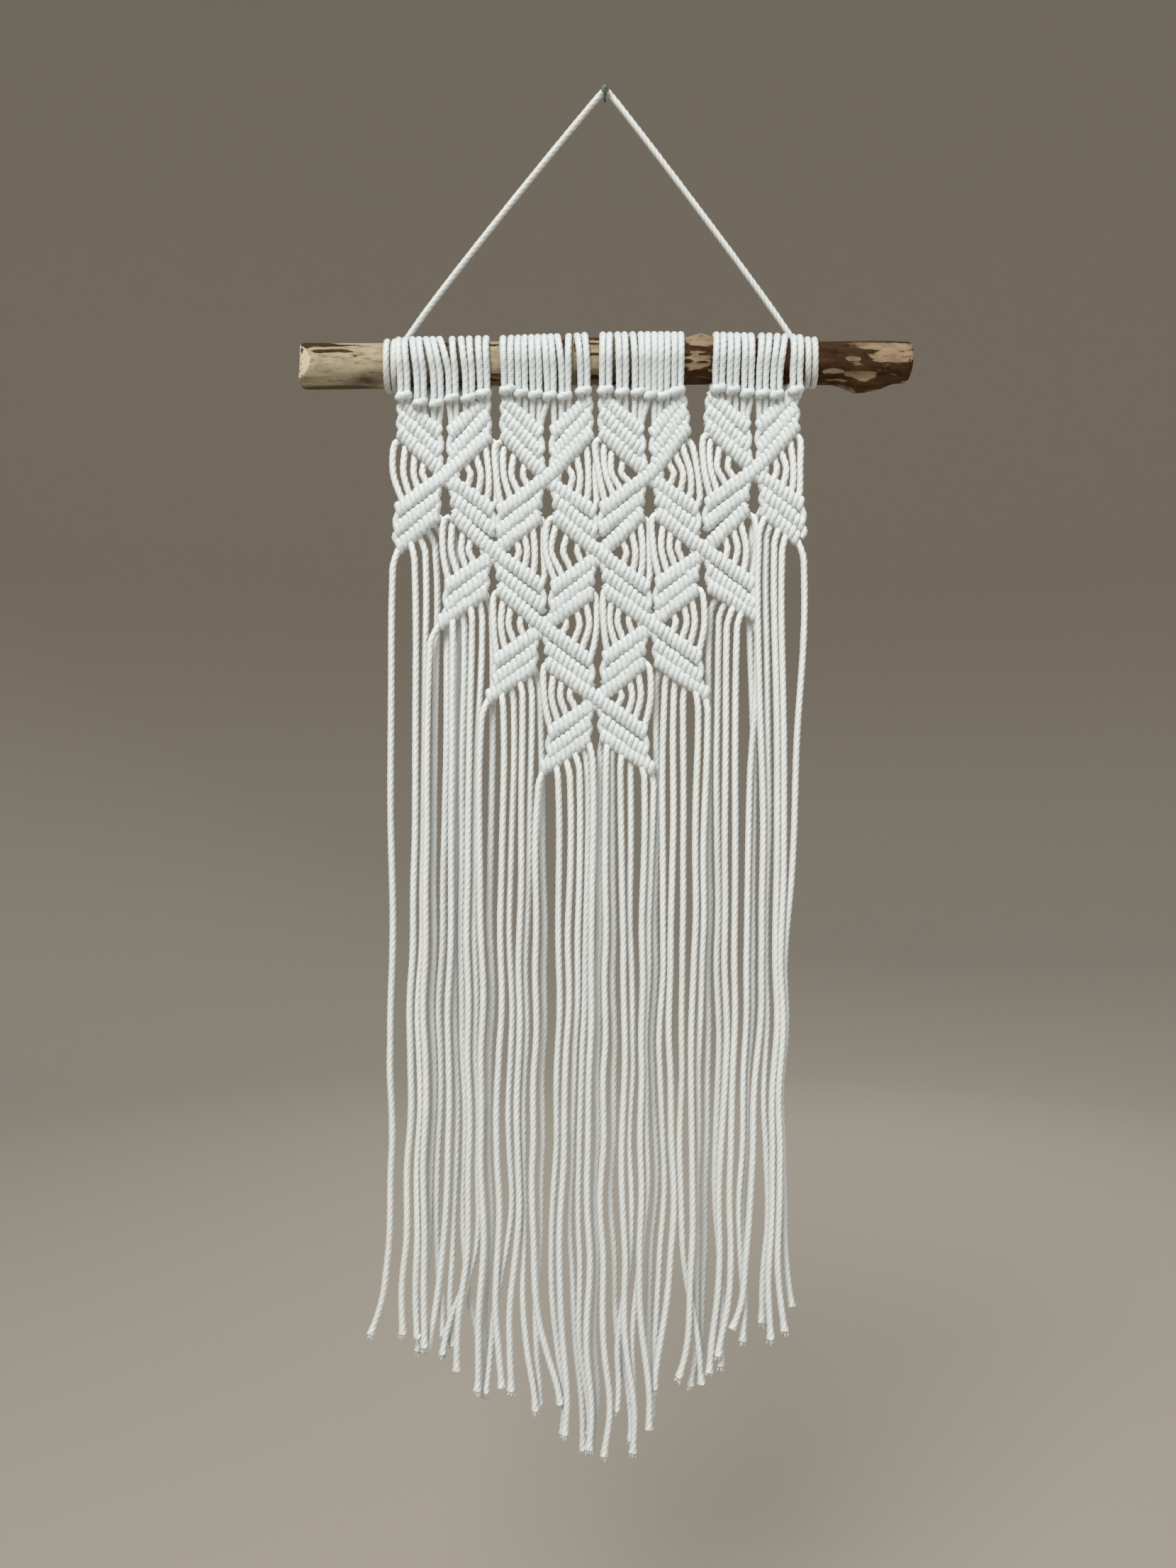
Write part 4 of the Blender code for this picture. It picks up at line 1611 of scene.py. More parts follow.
@dataclass
class EyeStrands:
    """The loose strands that bulge round the eye on each side of a crossing."""

    rope: Rope
    tuck: float = 3.4
    inset: float = 0.6
    outer_tuck: float = 1.8
    outer_inset: float = 3.0
    outer_back: float = 1.4
    hub_out: tuple[float, float] = (5.0, 7.2)
    hub_tuck: float = 2.6
    step: float = 1.5

    def path(self, flank: Flank, strand: EyeStrand, level: EyeLevel, last: bool) -> Path:
        """Gives one strand's way from inside the bar above to inside the bar below.

        Args:
            flank: the eye's side of its crossing.
            strand: how far out it is.
            level: how high it is.
            last: whether it is the last from the eye, which has less room in the bar above.

        Returns:
            The strand's points.
        """
        back = self.outer_back * flank.side if last and not flank.outermost() else 0.0
        inset, rise = (self.outer_inset, self.outer_tuck) if last else (self.inset, self.tuck)
        places = (
            (strand.top - inset, level.top + rise, 1.2),
            (strand.top, level.top, 0.6),
            (strand.bulge, level.bulge, 0.0),
            (strand.foot, level.foot, 0.5),
            (strand.foot - 1.2, level.foot - self.tuck, 1.2),
        )
        return smooth_path([flank.point(out, up, back + deep) for out, up, deep in places], self.step)

    def hub(self, flank: Flank) -> Path:
        """Gives the strand that turns round next to the crossing.

        Args:
            flank: the eye's side of its crossing.

        Returns:
            The strand's points.
        """
        out = self.hub_out[0] if (flank.side < 0) == (flank.row == 0) else self.hub_out[1]
        inside = out - self.hub_tuck
        turn = ((inside, 6.0, 0.8), (out, 1.4, -0.6), (inside, -3.4, 0.8))
        return smooth_path([flank.point(*place) for place in turn], self.step)

    def build(self) -> Object:
        """Lays the strands of every eye as one piece.

        Returns:
            The strands' mesh.
        """
        paths = []
        for key, strands in EYES.items():
            for strand, level in zip(strands, EYE_LEVELS):
                paths.append(self.path(Flank(*key), strand, level, last=level is EYE_LEVELS[-1]))
            paths.append(self.hub(Flank(*key)))
        piece = self.rope.lay_out("eye_strands", paths, seed=51)
        return settle_piece(piece, Slot.COTTON, "macrame")


class Strand(NamedTuple):
    """A fringe strand: where it is below its knot, at three heights and at its tip, and its layers."""

    knee_x: float
    high_x: float
    middle_x: float
    hem_x: float
    tip_x: float
    tip_z: float
    upper: Layer
    lower: Layer


FRONT, MIDDLE, BACK, REAR = Layer.FRONT, Layer.MIDDLE, Layer.BACK, Layer.REAR
HIGH_Z = -446.0
MIDDLE_Z = -565.0
HEM_Z = -700.0

# The fringe by free leaf (row, column, side), each from the leaf's tip inwards.
FRINGE = {
    (0, 0, -1): (
        Strand(-128.0, -129.0, -127.0, -130.0, -141.0, -753.0, FRONT, FRONT),
        Strand(-114.0, -114.0, -117.0, -119.5, -123.0, -753.0, FRONT, FRONT),
        Strand(-107.5, -110.0, -113.0, -113.4, -112.0, -756.0, MIDDLE, FRONT),
        Strand(-101.5, -104.0, -104.5, -107.6, -113.0, -767.0, BACK, BACK),
        Strand(-95.5, -97.5, -99.5, -104.0, -96.0, -758.0, BACK, BACK),
        Strand(-90.0, -90.3, -91.0, -90.6, -89.0, -764.0, BACK, BACK),
    ),
    (1, 0, -1): (
        Strand(-106.0, -107.0, -109.0, -109.8, -109.0, -761.0, FRONT, FRONT),
        Strand(-91.5, -93.0, -94.0, -95.8, -108.0, -764.0, FRONT, MIDDLE),
        Strand(-84.5, -86.5, -87.0, -86.0, -77.0, -763.0, MIDDLE, REAR),
        Strand(-79.5, -82.5, -83.0, -81.8, -87.0, -775.0, FRONT, FRONT),
        Strand(-74.0, -78.5, -79.0, -76.2, -96.0, -767.0, MIDDLE, MIDDLE),
        Strand(-68.0, -69.5, -69.0, -69.8, -76.0, -794.0, BACK, BACK),
    ),
    (2, 0, -1): (
        Strand(-75.0, -76.0, -74.0, -73.2, -79.0, -787.0, FRONT, FRONT),
        Strand(-61.0, -62.0, -63.0, -65.0, -64.0, -785.0, FRONT, FRONT),
        Strand(-54.7, -56.5, -57.5, -58.9, -75.0, -790.0, MIDDLE, MIDDLE),
        Strand(-49.0, -50.5, -53.0, -53.9, -59.0, -787.0, FRONT, FRONT),
        Strand(-44.0, -45.5, -48.5, -49.8, -44.0, -801.0, MIDDLE, MIDDLE),
        Strand(-39.0, -38.5, -38.0, -39.4, -42.0, -800.0, BACK, BACK),
    ),
    (3, 0, -1): (
        Strand(-41.5, -42.5, -42.0, -43.8, -32.0, -795.0, FRONT, FRONT),
        Strand(-28.0, -27.5, -28.5, -32.3, -28.0, -815.0, FRONT, MIDDLE),
        Strand(-21.0, -20.5, -23.0, -27.2, -27.0, -813.0, FRONT, FRONT),
        Strand(-15.0, -15.3, -18.6, -21.5, -14.0, -827.0, FRONT, BACK),
        Strand(-10.4, -10.4, -13.6, -16.4, -11.0, -815.0, MIDDLE, MIDDLE),
        Strand(-7.4, -7.2, -9.0, -10.4, -11.0, -822.0, FRONT, FRONT),
    ),
    (3, 0, 1): (
        Strand(29.4, 28.0, 24.8, 22.2, 13.0, -796.0, MIDDLE, MIDDLE),
        Strand(24.0, 23.5, 22.0, 19.7, 26.0, -810.0, FRONT, FRONT),
        Strand(15.0, 15.4, 15.8, 14.6, 3.0, -801.0, MIDDLE, MIDDLE),
        Strand(8.5, 9.2, 10.0, 9.8, 15.0, -824.0, FRONT, FRONT),
        Strand(3.2, 4.0, 4.2, 3.8, 14.0, -821.0, MIDDLE, BACK),
        Strand(0.0, -0.2, -0.3, -1.8, -1.0, -826.0, FRONT, FRONT),
        Strand(-3.8, -4.2, -5.0, -6.1, -9.0, -824.0, BACK, BACK),
    ),
    (2, 1, 1): (
        Strand(61.5, 58.8, 56.8, 55.1, 50.0, -788.0, FRONT, BACK),
        Strand(55.5, 53.5, 51.2, 52.0, 44.0, -779.0, FRONT, FRONT),
        Strand(46.4, 46.8, 46.0, 45.4, 56.0, -785.0, MIDDLE, MIDDLE),
        Strand(40.6, 40.8, 38.4, 40.1, 30.0, -788.0, MIDDLE, MIDDLE),
        Strand(35.0, 34.2, 34.0, 34.1, 28.0, -807.0, MIDDLE, BACK),
        Strand(30.0, 31.0, 30.0, 29.0, 27.0, -805.0, BACK, REAR),
    ),
    (1, 2, 1): (
        Strand(91.7, 86.2, 84.0, 80.8, 82.0, -759.0, MIDDLE, MIDDLE),
        Strand(77.7, 77.6, 76.2, 75.4, 69.0, -766.0, FRONT, FRONT),
        Strand(72.0, 71.2, 71.0, 68.4, 63.0, -776.0, FRONT, FRONT),
        Strand(67.4, 67.2, 67.0, 68.0, 71.0, -774.0, MIDDLE, MIDDLE),
        Strand(62.0, 62.6, 62.0, 61.2, 56.0, -781.0, BACK, REAR),
    ),
    (0, 3, 1): (
        Strand(119.0, 113.4, 108.4, 106.1, 113.0, -740.0, FRONT, BACK),
        Strand(105.0, 106.4, 105.6, 101.0, 108.0, -751.0, FRONT, FRONT),
        Strand(100.0, 102.6, 101.6, 98.4, 98.0, -756.0, FRONT, FRONT),
        Strand(95.5, 98.2, 95.4, 97.1, 93.0, -748.0, MIDDLE, MIDDLE),
        Strand(91.0, 94.4, 91.6, 86.4, 75.0, -750.0, FRONT, FRONT),
        Strand(87.4, 89.4, 87.6, 82.4, 83.0, -760.0, BACK, BACK),
    ),
}
TIP_EXIT = 30.4
HITCH_EXITS = (24.5, 19.5, 14.5, 9.5, 6.0, 3.6)


@dataclass
class Fringe:
    """The hanging strands below the free leaves, which lie against each other without sinking in."""

    rope: Rope
    fray_rope: Rope
    knee_drop: float = 14.0
    knee_fall: float = 4.0
    bend_share: float = 0.55
    long_drop: float = 60.0
    short_drop: float = 12.0
    clear: float = 4.1
    top_z: float = -250.0
    bottom_z: float = -830.0
    level_step: float = 5.0
    rounds: int = 90
    push_share: float = 0.35
    side_share: float = 0.25
    wander: float = 1.0
    sway: float = 3.2
    sway_start_z: float = -420.0
    sway_growth: float = 160.0
    tip_length: float = 70.0
    frays: int = 8
    fray_reach: float = 3.6

    def halfway(self, start_x: float, end_x: float, share: float, rng: random.Random) -> float:
        """Returns a place across between two others, with a little wandering."""
        return between(start_x, end_x, share) + rng.uniform(-1, 1) * self.wander

    def path(self, flank: Flank, number: int, strand: Strand, rng: random.Random) -> Path:
        """Gives one strand's way from its knot down to its tip.

        Args:
            flank: the side of the crossing on which its leaf lies.
            number: its place in the leaf, from the leaf's tip.
            strand: where it hangs.
            rng: the source of its wandering.

        Returns:
            The strand's points.
        """
        bar = flank.tip_bar()
        reach = (HITCH_EXITS[number - 1] if number else TIP_EXIT) * bar.far_x / HITCH_SPAN
        root = flank.point(reach, bar.height(reach))
        knee_y = PANEL_Y + strand.upper.value
        hem_y = PANEL_Y + strand.lower.value
        high_y, halfway_y, middle_y = (between(knee_y, hem_y, share) for share in (0.2, 0.35, 0.55))
        knee_z = root[2] - self.knee_drop - self.knee_fall
        bend = (between(root[0], strand.knee_x, 0.6), between(PANEL_Y, knee_y, 0.8))
        points = [root, (*bend, root[2] - self.bend_share * self.knee_drop), (strand.knee_x, knee_y, knee_z)]
        if knee_z - HIGH_Z > self.long_drop:
            for share in (0.33, 0.67):
                across = self.halfway(strand.knee_x, strand.high_x, smooth(share), rng)
                points.append((across, knee_y, between(knee_z, HIGH_Z, share)))
        if knee_z - HIGH_Z > self.short_drop:
            points.append((strand.high_x, high_y, HIGH_Z))
        across = self.halfway(strand.high_x, strand.middle_x, 0.5, rng)
        points.append((across, halfway_y, between(HIGH_Z, MIDDLE_Z, 0.5)))
        points.append((strand.middle_x, middle_y, MIDDLE_Z))
        across = self.halfway(strand.middle_x, strand.hem_x, 0.5, rng)
        points.append((across, between(middle_y, hem_y, 0.6), between(MIDDLE_Z, HEM_Z, 0.5)))
        points.append((strand.hem_x, hem_y, HEM_Z))
        across = self.halfway(strand.hem_x, strand.tip_x, 0.42, rng)
        points.append((across, hem_y, between(HEM_Z, strand.tip_z, 0.5)))
        points.append((strand.tip_x, hem_y, strand.tip_z))
        return smooth_path(points, 3.0)

    def part_strands(self, paths: list[Path]) -> list[Path]:
        """Moves strands apart where they would sink into each other, mostly in depth.

        Args:
            paths: every strand's points, from its knot down.

        Returns:
            The paths at even heights, a rope's thickness apart.
        """
        levels = np.arange(self.top_z, self.bottom_z, -self.level_step)
        x = np.full((len(levels), len(paths)), np.nan)
        y = np.full_like(x, np.nan)
        for i, path in enumerate(paths):
            line = np.array(path)[::-1]
            inside = (levels <= line[-1, 2] - 10.0) & (levels >= line[0, 2])
            x[inside, i] = np.interp(levels[inside], line[:, 2], line[:, 0])
            y[inside, i] = np.interp(levels[inside], line[:, 2], line[:, 1])
        start_y = y.copy()
        present = ~np.isnan(x)
        own = np.eye(len(paths), dtype=bool)
        for _ in range(self.rounds):
            dx = x[:, :, None] - x[:, None, :]
            dy = y[:, :, None] - y[:, None, :]
            gap = np.sqrt(dx * dx + dy * dy)
            close = (gap < self.clear) & ~own
            order = np.sign(start_y[:, :, None] - start_y[:, None, :])
            ways = np.where(np.abs(dy) > 0.3, np.sign(dy), order)
            push = np.where(close, (self.clear - gap) * self.push_share, 0.0)
            y += np.nansum(push * ways, axis=2)
            x += np.nansum(push * np.sign(dx), axis=2) * self.side_share
            y = self.eased(y, present)
            x = self.eased(x, present)
        parted = []
        for i, path in enumerate(paths):
            inside = present[:, i]
            top = [point for point in path if point[2] > levels[inside][0] + 3.0]
            body = [tuple(row) for row in np.stack([x[inside, i], y[inside, i], levels[inside]], axis=1)]
            tail = [(path[-1][0], body[-1][1], path[-1][2])]
            parted.append(smooth_path(top[::3] + body + tail, 2.5))
        return parted

    def swayed(self, path: Path) -> Path:
        """Bends a strand gently sideways together with its neighbours, more towards its tip.

        Args:
            path: the strand's points.

        Returns:
            The points, moved.
        """
        made = []
        for x, y, z in path:
            down = smooth((self.sway_start_z - z) / self.sway_growth)
            tip = smooth((path[-1][2] + self.tip_length - z) / self.tip_length)
            wave = noise.noise(Vector((x * 0.05, z * 0.017, 5.0)))
            made.append((x + self.sway * wave * (down + 0.9 * tip), y, z))
        return made

    @staticmethod
    def eased(values: np.ndarray, present: np.ndarray) -> np.ndarray:
        """Takes each strand a little towards the mean of its two neighbours along its length.

        Args:
            values: the strands' places, by level and strand.
            present: where there is a strand.

        Returns:
            The eased places.
        """
        eased = values.copy()
        inner = present[:-2] & present[1:-1] & present[2:]
        mean = (values[:-2] + values[2:]) / 2
        eased[1:-1][inner] = (values[1:-1] * 0.8 + mean * 0.2)[inner]
        return eased

    def fray_paths(self, path: Path, rng: random.Random) -> list[Path]:
        """Gives the loose yarn ends that stand out of one cut tip.

        Args:
            path: the strand's points.
            rng: the source of their spread.

        Returns:
            The yarn ends' points.
        """
        tip = Vector(path[-1])
        ahead = (tip - Vector(path[-2])).normalized()
        side = ahead.cross(Vector((0, 1, 0))).normalized()
        deep = ahead.cross(side)
        made = []
        for i in range(self.frays):
            angle = FULL_TURN * (i + rng.uniform(-0.3, 0.3)) / self.frays
            out = side * math.cos(angle) + deep * math.sin(angle)
            reach = self.fray_reach * rng.uniform(0.55, 1.15)
            root = tip - ahead * 1.4 + out * rng.uniform(0.6, 1.5)
            middle = root + ahead * (reach * 0.55 + 1.0) + out * rng.uniform(0.1, 0.6)
            end = root + ahead * (reach + 1.0) + out * rng.uniform(0.4, 1.6)
            made.append([tuple(root), tuple(middle), tuple(end)])
        return made

    def build(self) -> None:
        """Lays the strands, one piece for each free leaf, and the frayed tips."""
        rng = random.Random(61)
        owners = []
        paths = []
        for key, strands in FRINGE.items():
            for number, strand in enumerate(strands):
                owners.append(key)
                paths.append(self.path(Flank(*key), number, strand, rng))
        paths = [self.swayed(path) for path in self.part_strands(paths)]
        for number, key in enumerate(FRINGE):
            own = [path for owner, path in zip(owners, paths) if owner == key]
            piece = self.rope.lay_out(f"fringe_{number + 1}", own, seed=70 + number)
            settle_piece(piece, Slot.COTTON, "macrame")
        frays = [fray for path in paths for fray in self.fray_paths(path, rng)]
        piece = self.fray_rope.lay_out("frayed_tips", frays, seed=91)
        settle_piece(piece, Slot.COTTON, "macrame")


# ---- branch


class Patch(NamedTuple):
    """A soft oval on the branch, as it shows from in front and a little below.

    height is above the branch's middle line. strength is more than 0 for bark and less for bare wood.
    """

    x: float
    height: float
    half_x: float
    half_height: float
    strength: float


# The branch is seen this far from below where its patches are placed.
LOOK_UP = math.radians(18.2)

PATCHES = (
    Patch(-179.0, 12.6, 4.6, 1.7, 1.6),
    Patch(-170.5, 13.0, 8.5, 1.0, 1.4),
    Patch(-157.5, 12.4, 10.0, 0.5, 1.0),
    Patch(-171.0, 9.3, 4.0, 0.8, 1.2),
    Patch(-162.0, 9.2, 8.0, 1.1, 1.35),
    Patch(-154.5, 8.8, 5.0, 0.6, 1.0),
    Patch(-96.0, 13.0, 3.0, 1.2, 1.2),
    Patch(-67.0, 12.8, 5.0, 0.5, 0.9),
    Patch(-67.0, -4.6, 5.0, 0.6, 0.9),
    Patch(-66.0, -8.0, 4.0, 0.9, 1.0),
    Patch(-27.0, 14.6, 5.0, 2.2, 1.3),
    Patch(-16.0, 12.0, 3.0, 4.0, 1.0),
    Patch(-7.0, 16.7, 7.0, 0.9, 1.4),
    Patch(-7.0, 13.3, 6.0, 0.7, 1.1),
    Patch(-7.0, 7.3, 6.0, 0.8, 1.4),
    Patch(-7.0, -6.4, 6.0, 1.3, 1.1),
    Patch(57.0, 15.8, 9.5, 3.4, -1.6),
    Patch(53.5, 3.6, 8.4, 5.2, -1.6),
    Patch(49.0, 7.2, 2.4, 0.9, 1.7),
    Patch(49.4, 3.4, 2.8, 1.5, 1.8),
    Patch(57.0, 2.5, 3.8, 0.7, 1.7),
    Patch(57.8, 7.2, 3.2, 0.6, 1.4),
    Patch(62.7, -2.3, 1.9, 1.2, -1.3),
    Patch(56.0, -6.6, 9.0, 0.5, -0.6),
    Patch(167.0, 12.4, 17.5, 2.2, -1.6),
    Patch(175.0, 7.0, 11.0, 3.8, -1.5),
    Patch(166.0, 15.2, 16.0, 0.9, 2.6),
    Patch(164.0, 5.8, 8.0, 3.2, -0.6),
    Patch(147.6, 4.6, 4.4, 1.3, -1.4),
    Patch(150.0, 1.8, 7.0, 1.0, -0.35),
    Patch(136.0, -2.9, 5.6, 1.6, -1.4),
    Patch(153.0, -4.9, 9.5, 2.1, -1.5),
    Patch(138.5, -8.3, 8.0, 0.8, -0.9),
    Patch(146.0, -10.9, 5.5, 1.1, -0.7),
    Patch(162.0, -10.9, 4.4, 0.8, -0.7),
    Patch(153.0, -15.4, 5.0, 1.0, -1.2),
    Patch(181.0, -9.4, 2.4, 0.8, -1.1),
    Patch(172.0, -4.3, 2.2, 0.7, -0.5),
)

# Where the bare wood is darker: real stains, and painted shade on the wood between and under the heads'
# ropes and along the left end's underside.
STAINS_AND_PAINTED_SHADE = (
    Patch(-139.0, -6.5, 11.0, 4.5, 0.6),
    Patch(-148.0, -9.8, 10.0, 3.2, 0.45),
    Patch(112.0, 2.0, 80.0, 40.0, 0.48),
    # Painted shade: a darker band along the left end's underside.
    Patch(-162.0, -13.6, 26.0, 1.8, 1.0),
    Patch(-66.0, -8.0, 8.0, 5.0, 0.6),
    # Painted shade: the next five patches darken the wood seen between the heads' ropes, where the ropes
    # shade it.
    Patch(-101.0, 0.0, 22.0, 30.0, 0.55),
    Patch(-117.0, 0.0, 5.0, 30.0, 0.5),
    Patch(-86.0, 0.0, 7.0, 30.0, 0.6),
    Patch(-36.0, 0.0, 20.0, 30.0, 0.55),
    Patch(15.0, 0.0, 12.0, 30.0, 1.1),
    Patch(-7.0, -7.0, 8.0, 5.0, 0.6),
    Patch(-7.0, 12.0, 8.0, 2.0, 0.4),
)


class Mound(NamedTuple):
    """A soft rise or hollow of the branch, its arc measured upwards from the front along the surface."""

    x: float
    arc: float
    half_x: float
    half_arc: float
    height: float
    reach: float


# The knob, the pit in it and the swirl.
MOUNDS = (
    Mound(156.0, -24.5, 15.5, 10.0, 4.6, 1.3),
    Mound(157.0, -21.5, 5.5, 3.0, -0.5, 1.0),
    Mound(57.0, 15.5, 11.0, 7.0, 2.6, 1.0),
)


class Relief(NamedTuple):
    """A fine unevenness of the branch: its height, how fast it changes along and around, and its start."""

    height: float
    along: float
    around: float
    start: float


RELIEFS = (Relief(0.32, 0.022, 1.1, 0.0), Relief(0.16, 0.06, 5.0, 9.0))
BLOTCHES = Relief(0.9, 0.03, 0.9, 0.0)


class EndRing(NamedTuple):
    """A ring of a sawn end: how far inwards from the end it lies, and its share of the radius."""

    inset: float
    share: float


END_RINGS = (
    EndRing(2.6, 1.0),
    EndRing(1.3, 0.985),
    EndRing(0.45, 0.955),
    EndRing(0.0, 0.90),
    EndRing(0.0, 0.62),
    EndRing(0.05, 0.3),
)


def branch_noise(relief: Relief, x: float, angle: float) -> float:
    """Measures an unevenness at a place on the branch.

    Args:
        relief: the unevenness.
        x: the place along the branch.
        angle: the place around it, in radians.

    Returns:
        The height there, outwards positive.
    """
    around = relief.around
    place = (x * relief.along + relief.start, math.cos(angle) * around, math.sin(angle) * around)
    return relief.height * noise.noise(Vector(place))


@dataclass
class Branch:
    """The stick: partly peeled bark, a knob under its right end, a swirl and two sawn ends."""

    wood: Material
    sawn: Material
    around: int = 132
    along: int = 290
    bark_start_x: float = 38.0
    bark_relief: float = 0.35
    bark_edge: float = 6.0
    back_arc: float = 24.0
    back_edge: float = 8.0
    facet_width: float = 8.6
    facet_slope: float = 0.62
    body_inset: float = 3.6
    saw_slope: float = 0.9
    sawn_rings: int = 3

    @staticmethod
    def over_patches(patches: Sequence[Patch], x: float, angle: float) -> float:
        """Adds up the patches' strength at a place, none of it where the place faces away.

        Args:
            patches: the patches.
            x: the place along the branch.
            angle: its angle from the front, upwards positive.

        Returns:
            The strength.
        """
        radius, lift = branch_station(x)
        turned = angle + LOOK_UP
        height = lift + radius * math.sin(turned) / math.cos(LOOK_UP)
        facing = smooth((math.cos(turned) + 0.25) / 0.3)
        total = 0.0
        for patch in patches:
            away = math.hypot((x - patch.x) / patch.half_x, (height - patch.height) / patch.half_height)
            total += patch.strength * smooth(1.5 - away)
        return total * facing

    def barked(self, x: float, angle: float) -> float:
        """Finds how surely there is bark at a place.

        Args:
            x: the place along the branch.
            angle: its angle from the front, upwards positive.

        Returns:
            0 for bare wood to 1 for bark, 0.5 being its edge.
        """
        value = smooth((x - self.bark_start_x) / self.bark_edge)
        behind = smooth((abs(BRANCH_RADIUS * angle) - self.back_arc) / self.back_edge)
        blotched = value * 0.75 + 0.2 + branch_noise(BLOTCHES, x, angle)
        value = between(value, min(1.0, max(0.0, blotched)), behind)
        return min(1.0, max(0.0, value + self.over_patches(PATCHES, x, angle)))

    def surface(self, x: float, angle: float, bark: float) -> tuple[Point, float]:
        """Finds the branch's surface at a place.

        Args:
            x: the place along the branch.
            angle: its angle from the front, upwards positive.
            bark: how surely there is bark.

        Returns:
            The surface's place and how deep the whittled facet cuts there.
        """
        radius, lift = branch_station(x)
        radius += sum(branch_noise(relief, x, angle) for relief in RELIEFS)
        radius += self.bark_relief * (smooth((bark - 0.35) / 0.3) - 0.6)
        for mound in MOUNDS:
            across = (BRANCH_RADIUS * angle - mound.arc) / mound.half_arc
            away = math.hypot((x - mound.x) / mound.half_x, across)
            radius += mound.height * smooth(mound.reach - away)
        inside = BRANCH_STATIONS[0].x + self.facet_width - x
        flat = BRANCH_RADIUS * BRANCH_STATIONS[1].radius_share - self.facet_slope * inside
        sliced = max(0.0, radius * math.cos(angle) - flat) if inside > 0.0 else 0.0
        y = BRANCH_Y - radius * math.cos(angle) + sliced
        return (x, y, BRANCH_Z + lift + radius * math.sin(angle)), sliced

    def ring(self, shape: Shape, end_x: float, end: EndRing, which: int) -> Ring:
        """Makes one ring of the branch's mesh, with its bark, its stains and its painted shade.

        Args:
            shape: the mesh.
            end_x: the place along the branch, which is its end for an end's rings.
            end: how far inwards and how wide the ring is.
            which: -1 at the left end, 1 at the right end and 0 between them.

        Returns:
            The ring's points.
        """
        layers = shape.verts.layers.float
        barked_share = 0.97 if which < 0 else 0.8
        ring = []
        for i in range(self.around):
            angle = math.remainder(FULL_TURN * i / self.around, FULL_TURN)
            tilt = math.sin(angle + 0.8) if which < 0 else 1.0 - math.sin(angle)
            x = end_x - which * (end.inset + max(0.0, self.saw_slope * tilt * end.share))
            bark = self.barked(x, angle)
            (_, y, z), sliced = self.surface(x, angle, bark)
            y = between(BRANCH_Y, y, end.share)
            z = between(BRANCH_Z + branch_station(x)[1], z, end.share)
            vert = shape.verts.new((x * MM, y * MM, z * MM))
            vert[layers["bark"]] = bark if end.share > barked_share and sliced < 0.15 else 0.0
            # This attribute holds the stains and the painted shade from the table, and a negative value
            # where the whittled facet shows pale wood.
            vert[layers["stain_and_shade"]] = -smooth(sliced / 0.5) if sliced else self.over_patches(STAINS_AND_PAINTED_SHADE, x, angle)
            ring.append(vert)
        return ring

    def build(self) -> Object:
        """Builds the branch's mesh, with its bark attribute, its attribute of stains and painted shade, and
        its two materials.

        Returns:
            The branch's mesh object.
        """
        shape = bmesh.new()
        shape.verts.layers.float.new("bark")
        shape.verts.layers.float.new("stain_and_shade")
        first_x, last_x = BRANCH_STATIONS[0].x, BRANCH_STATIONS[-1].x
        rings = [self.ring(shape, first_x, end, -1) for end in END_RINGS[::-1]]
        for i in range(self.along + 1):
            x = between(first_x + self.body_inset, last_x - self.body_inset, i / self.along)
            rings.append(self.ring(shape, x, EndRing(0.0, 1.0), 0))
        rings += [self.ring(shape, last_x, end, 1) for end in END_RINGS]
        end_faces = len(END_RINGS) - self.sawn_rings
        for number, (near, far) in enumerate(zip(rings, rings[1:])):
            sawn = number < end_faces or number >= len(rings) - end_faces
            for i in range(self.around):
                j = (i + 1) % self.around
                face = shape.faces.new((near[i], near[j], far[j], far[i]))
                face.material_index = 1 if sawn else 0
        for ring in (rings[0], rings[-1]):
            middle = shape.verts.new(sum((vert.co for vert in ring), Vector()) / len(ring))
            for i in range(self.around):
                face = shape.faces.new((ring[i], ring[(i + 1) % self.around], middle))
                face.material_index = 1
        bmesh.ops.recalc_face_normals(shape, faces=shape.faces)
        piece = mesh_object("branch_stick", shape, (self.wood, self.sawn))
        return settle_piece(piece, Slot.WOOD, "branch")


@dataclass
class Nail:
    """The steel nail: a shank that slopes up a little out of the wall and a flat round head."""

    steel: Material
    length: float = 10.0
    rise: float = 3.2
    shank_radius: float = 0.9
    head_radius: float = 2.4
    head_thickness: float = 0.9
    sides: int = 40
    sharp_angle: float = 40.0

    def place(self, radius: float, along: float, angle: float) -> Point:
        """Finds a place on the nail.

        Args:
            radius: its distance from the nail's axis.
            along: its distance along the axis.
            angle: its angle round the axis.

        Returns:
            The place, no further back than the wall.
        """
        slope = math.atan2(self.rise, self.length)
        up = radius * math.sin(angle)
        y = -along * math.cos(slope) - up * math.sin(slope)
        return (radius * math.cos(angle), min(0.0, y), along * math.sin(slope) + up * math.cos(slope))

    def build(self) -> Object:
        """Turns the nail's outline round its axis and tips it up by its rise.

        Returns:
            The nail's mesh object.
        """
        under = self.length - self.head_thickness
        outline = (
            (0.0, 0.0),
            (self.shank_radius, 0.0),
            (self.shank_radius, under - 0.35),
            (self.shank_radius + 0.3, under),
            (self.head_radius - 0.12, under),
            (self.head_radius, under + 0.15),
            (self.head_radius, under + 0.5),
            (self.head_radius - 0.2, self.length - 0.15),
            (0.6 * self.head_radius, self.length),
            (0.0, self.length),
        )
        shape = lathe(outline, self.sides, self.place)
        bmesh.ops.recalc_face_normals(shape, faces=shape.faces)
        piece = mesh_object("steel_nail", shape, (self.steel,))
        piece.data.set_sharp_from_angle(angle=math.radians(self.sharp_angle))
        return settle_piece(piece, Slot.STEEL, "nail")


# ---- studio


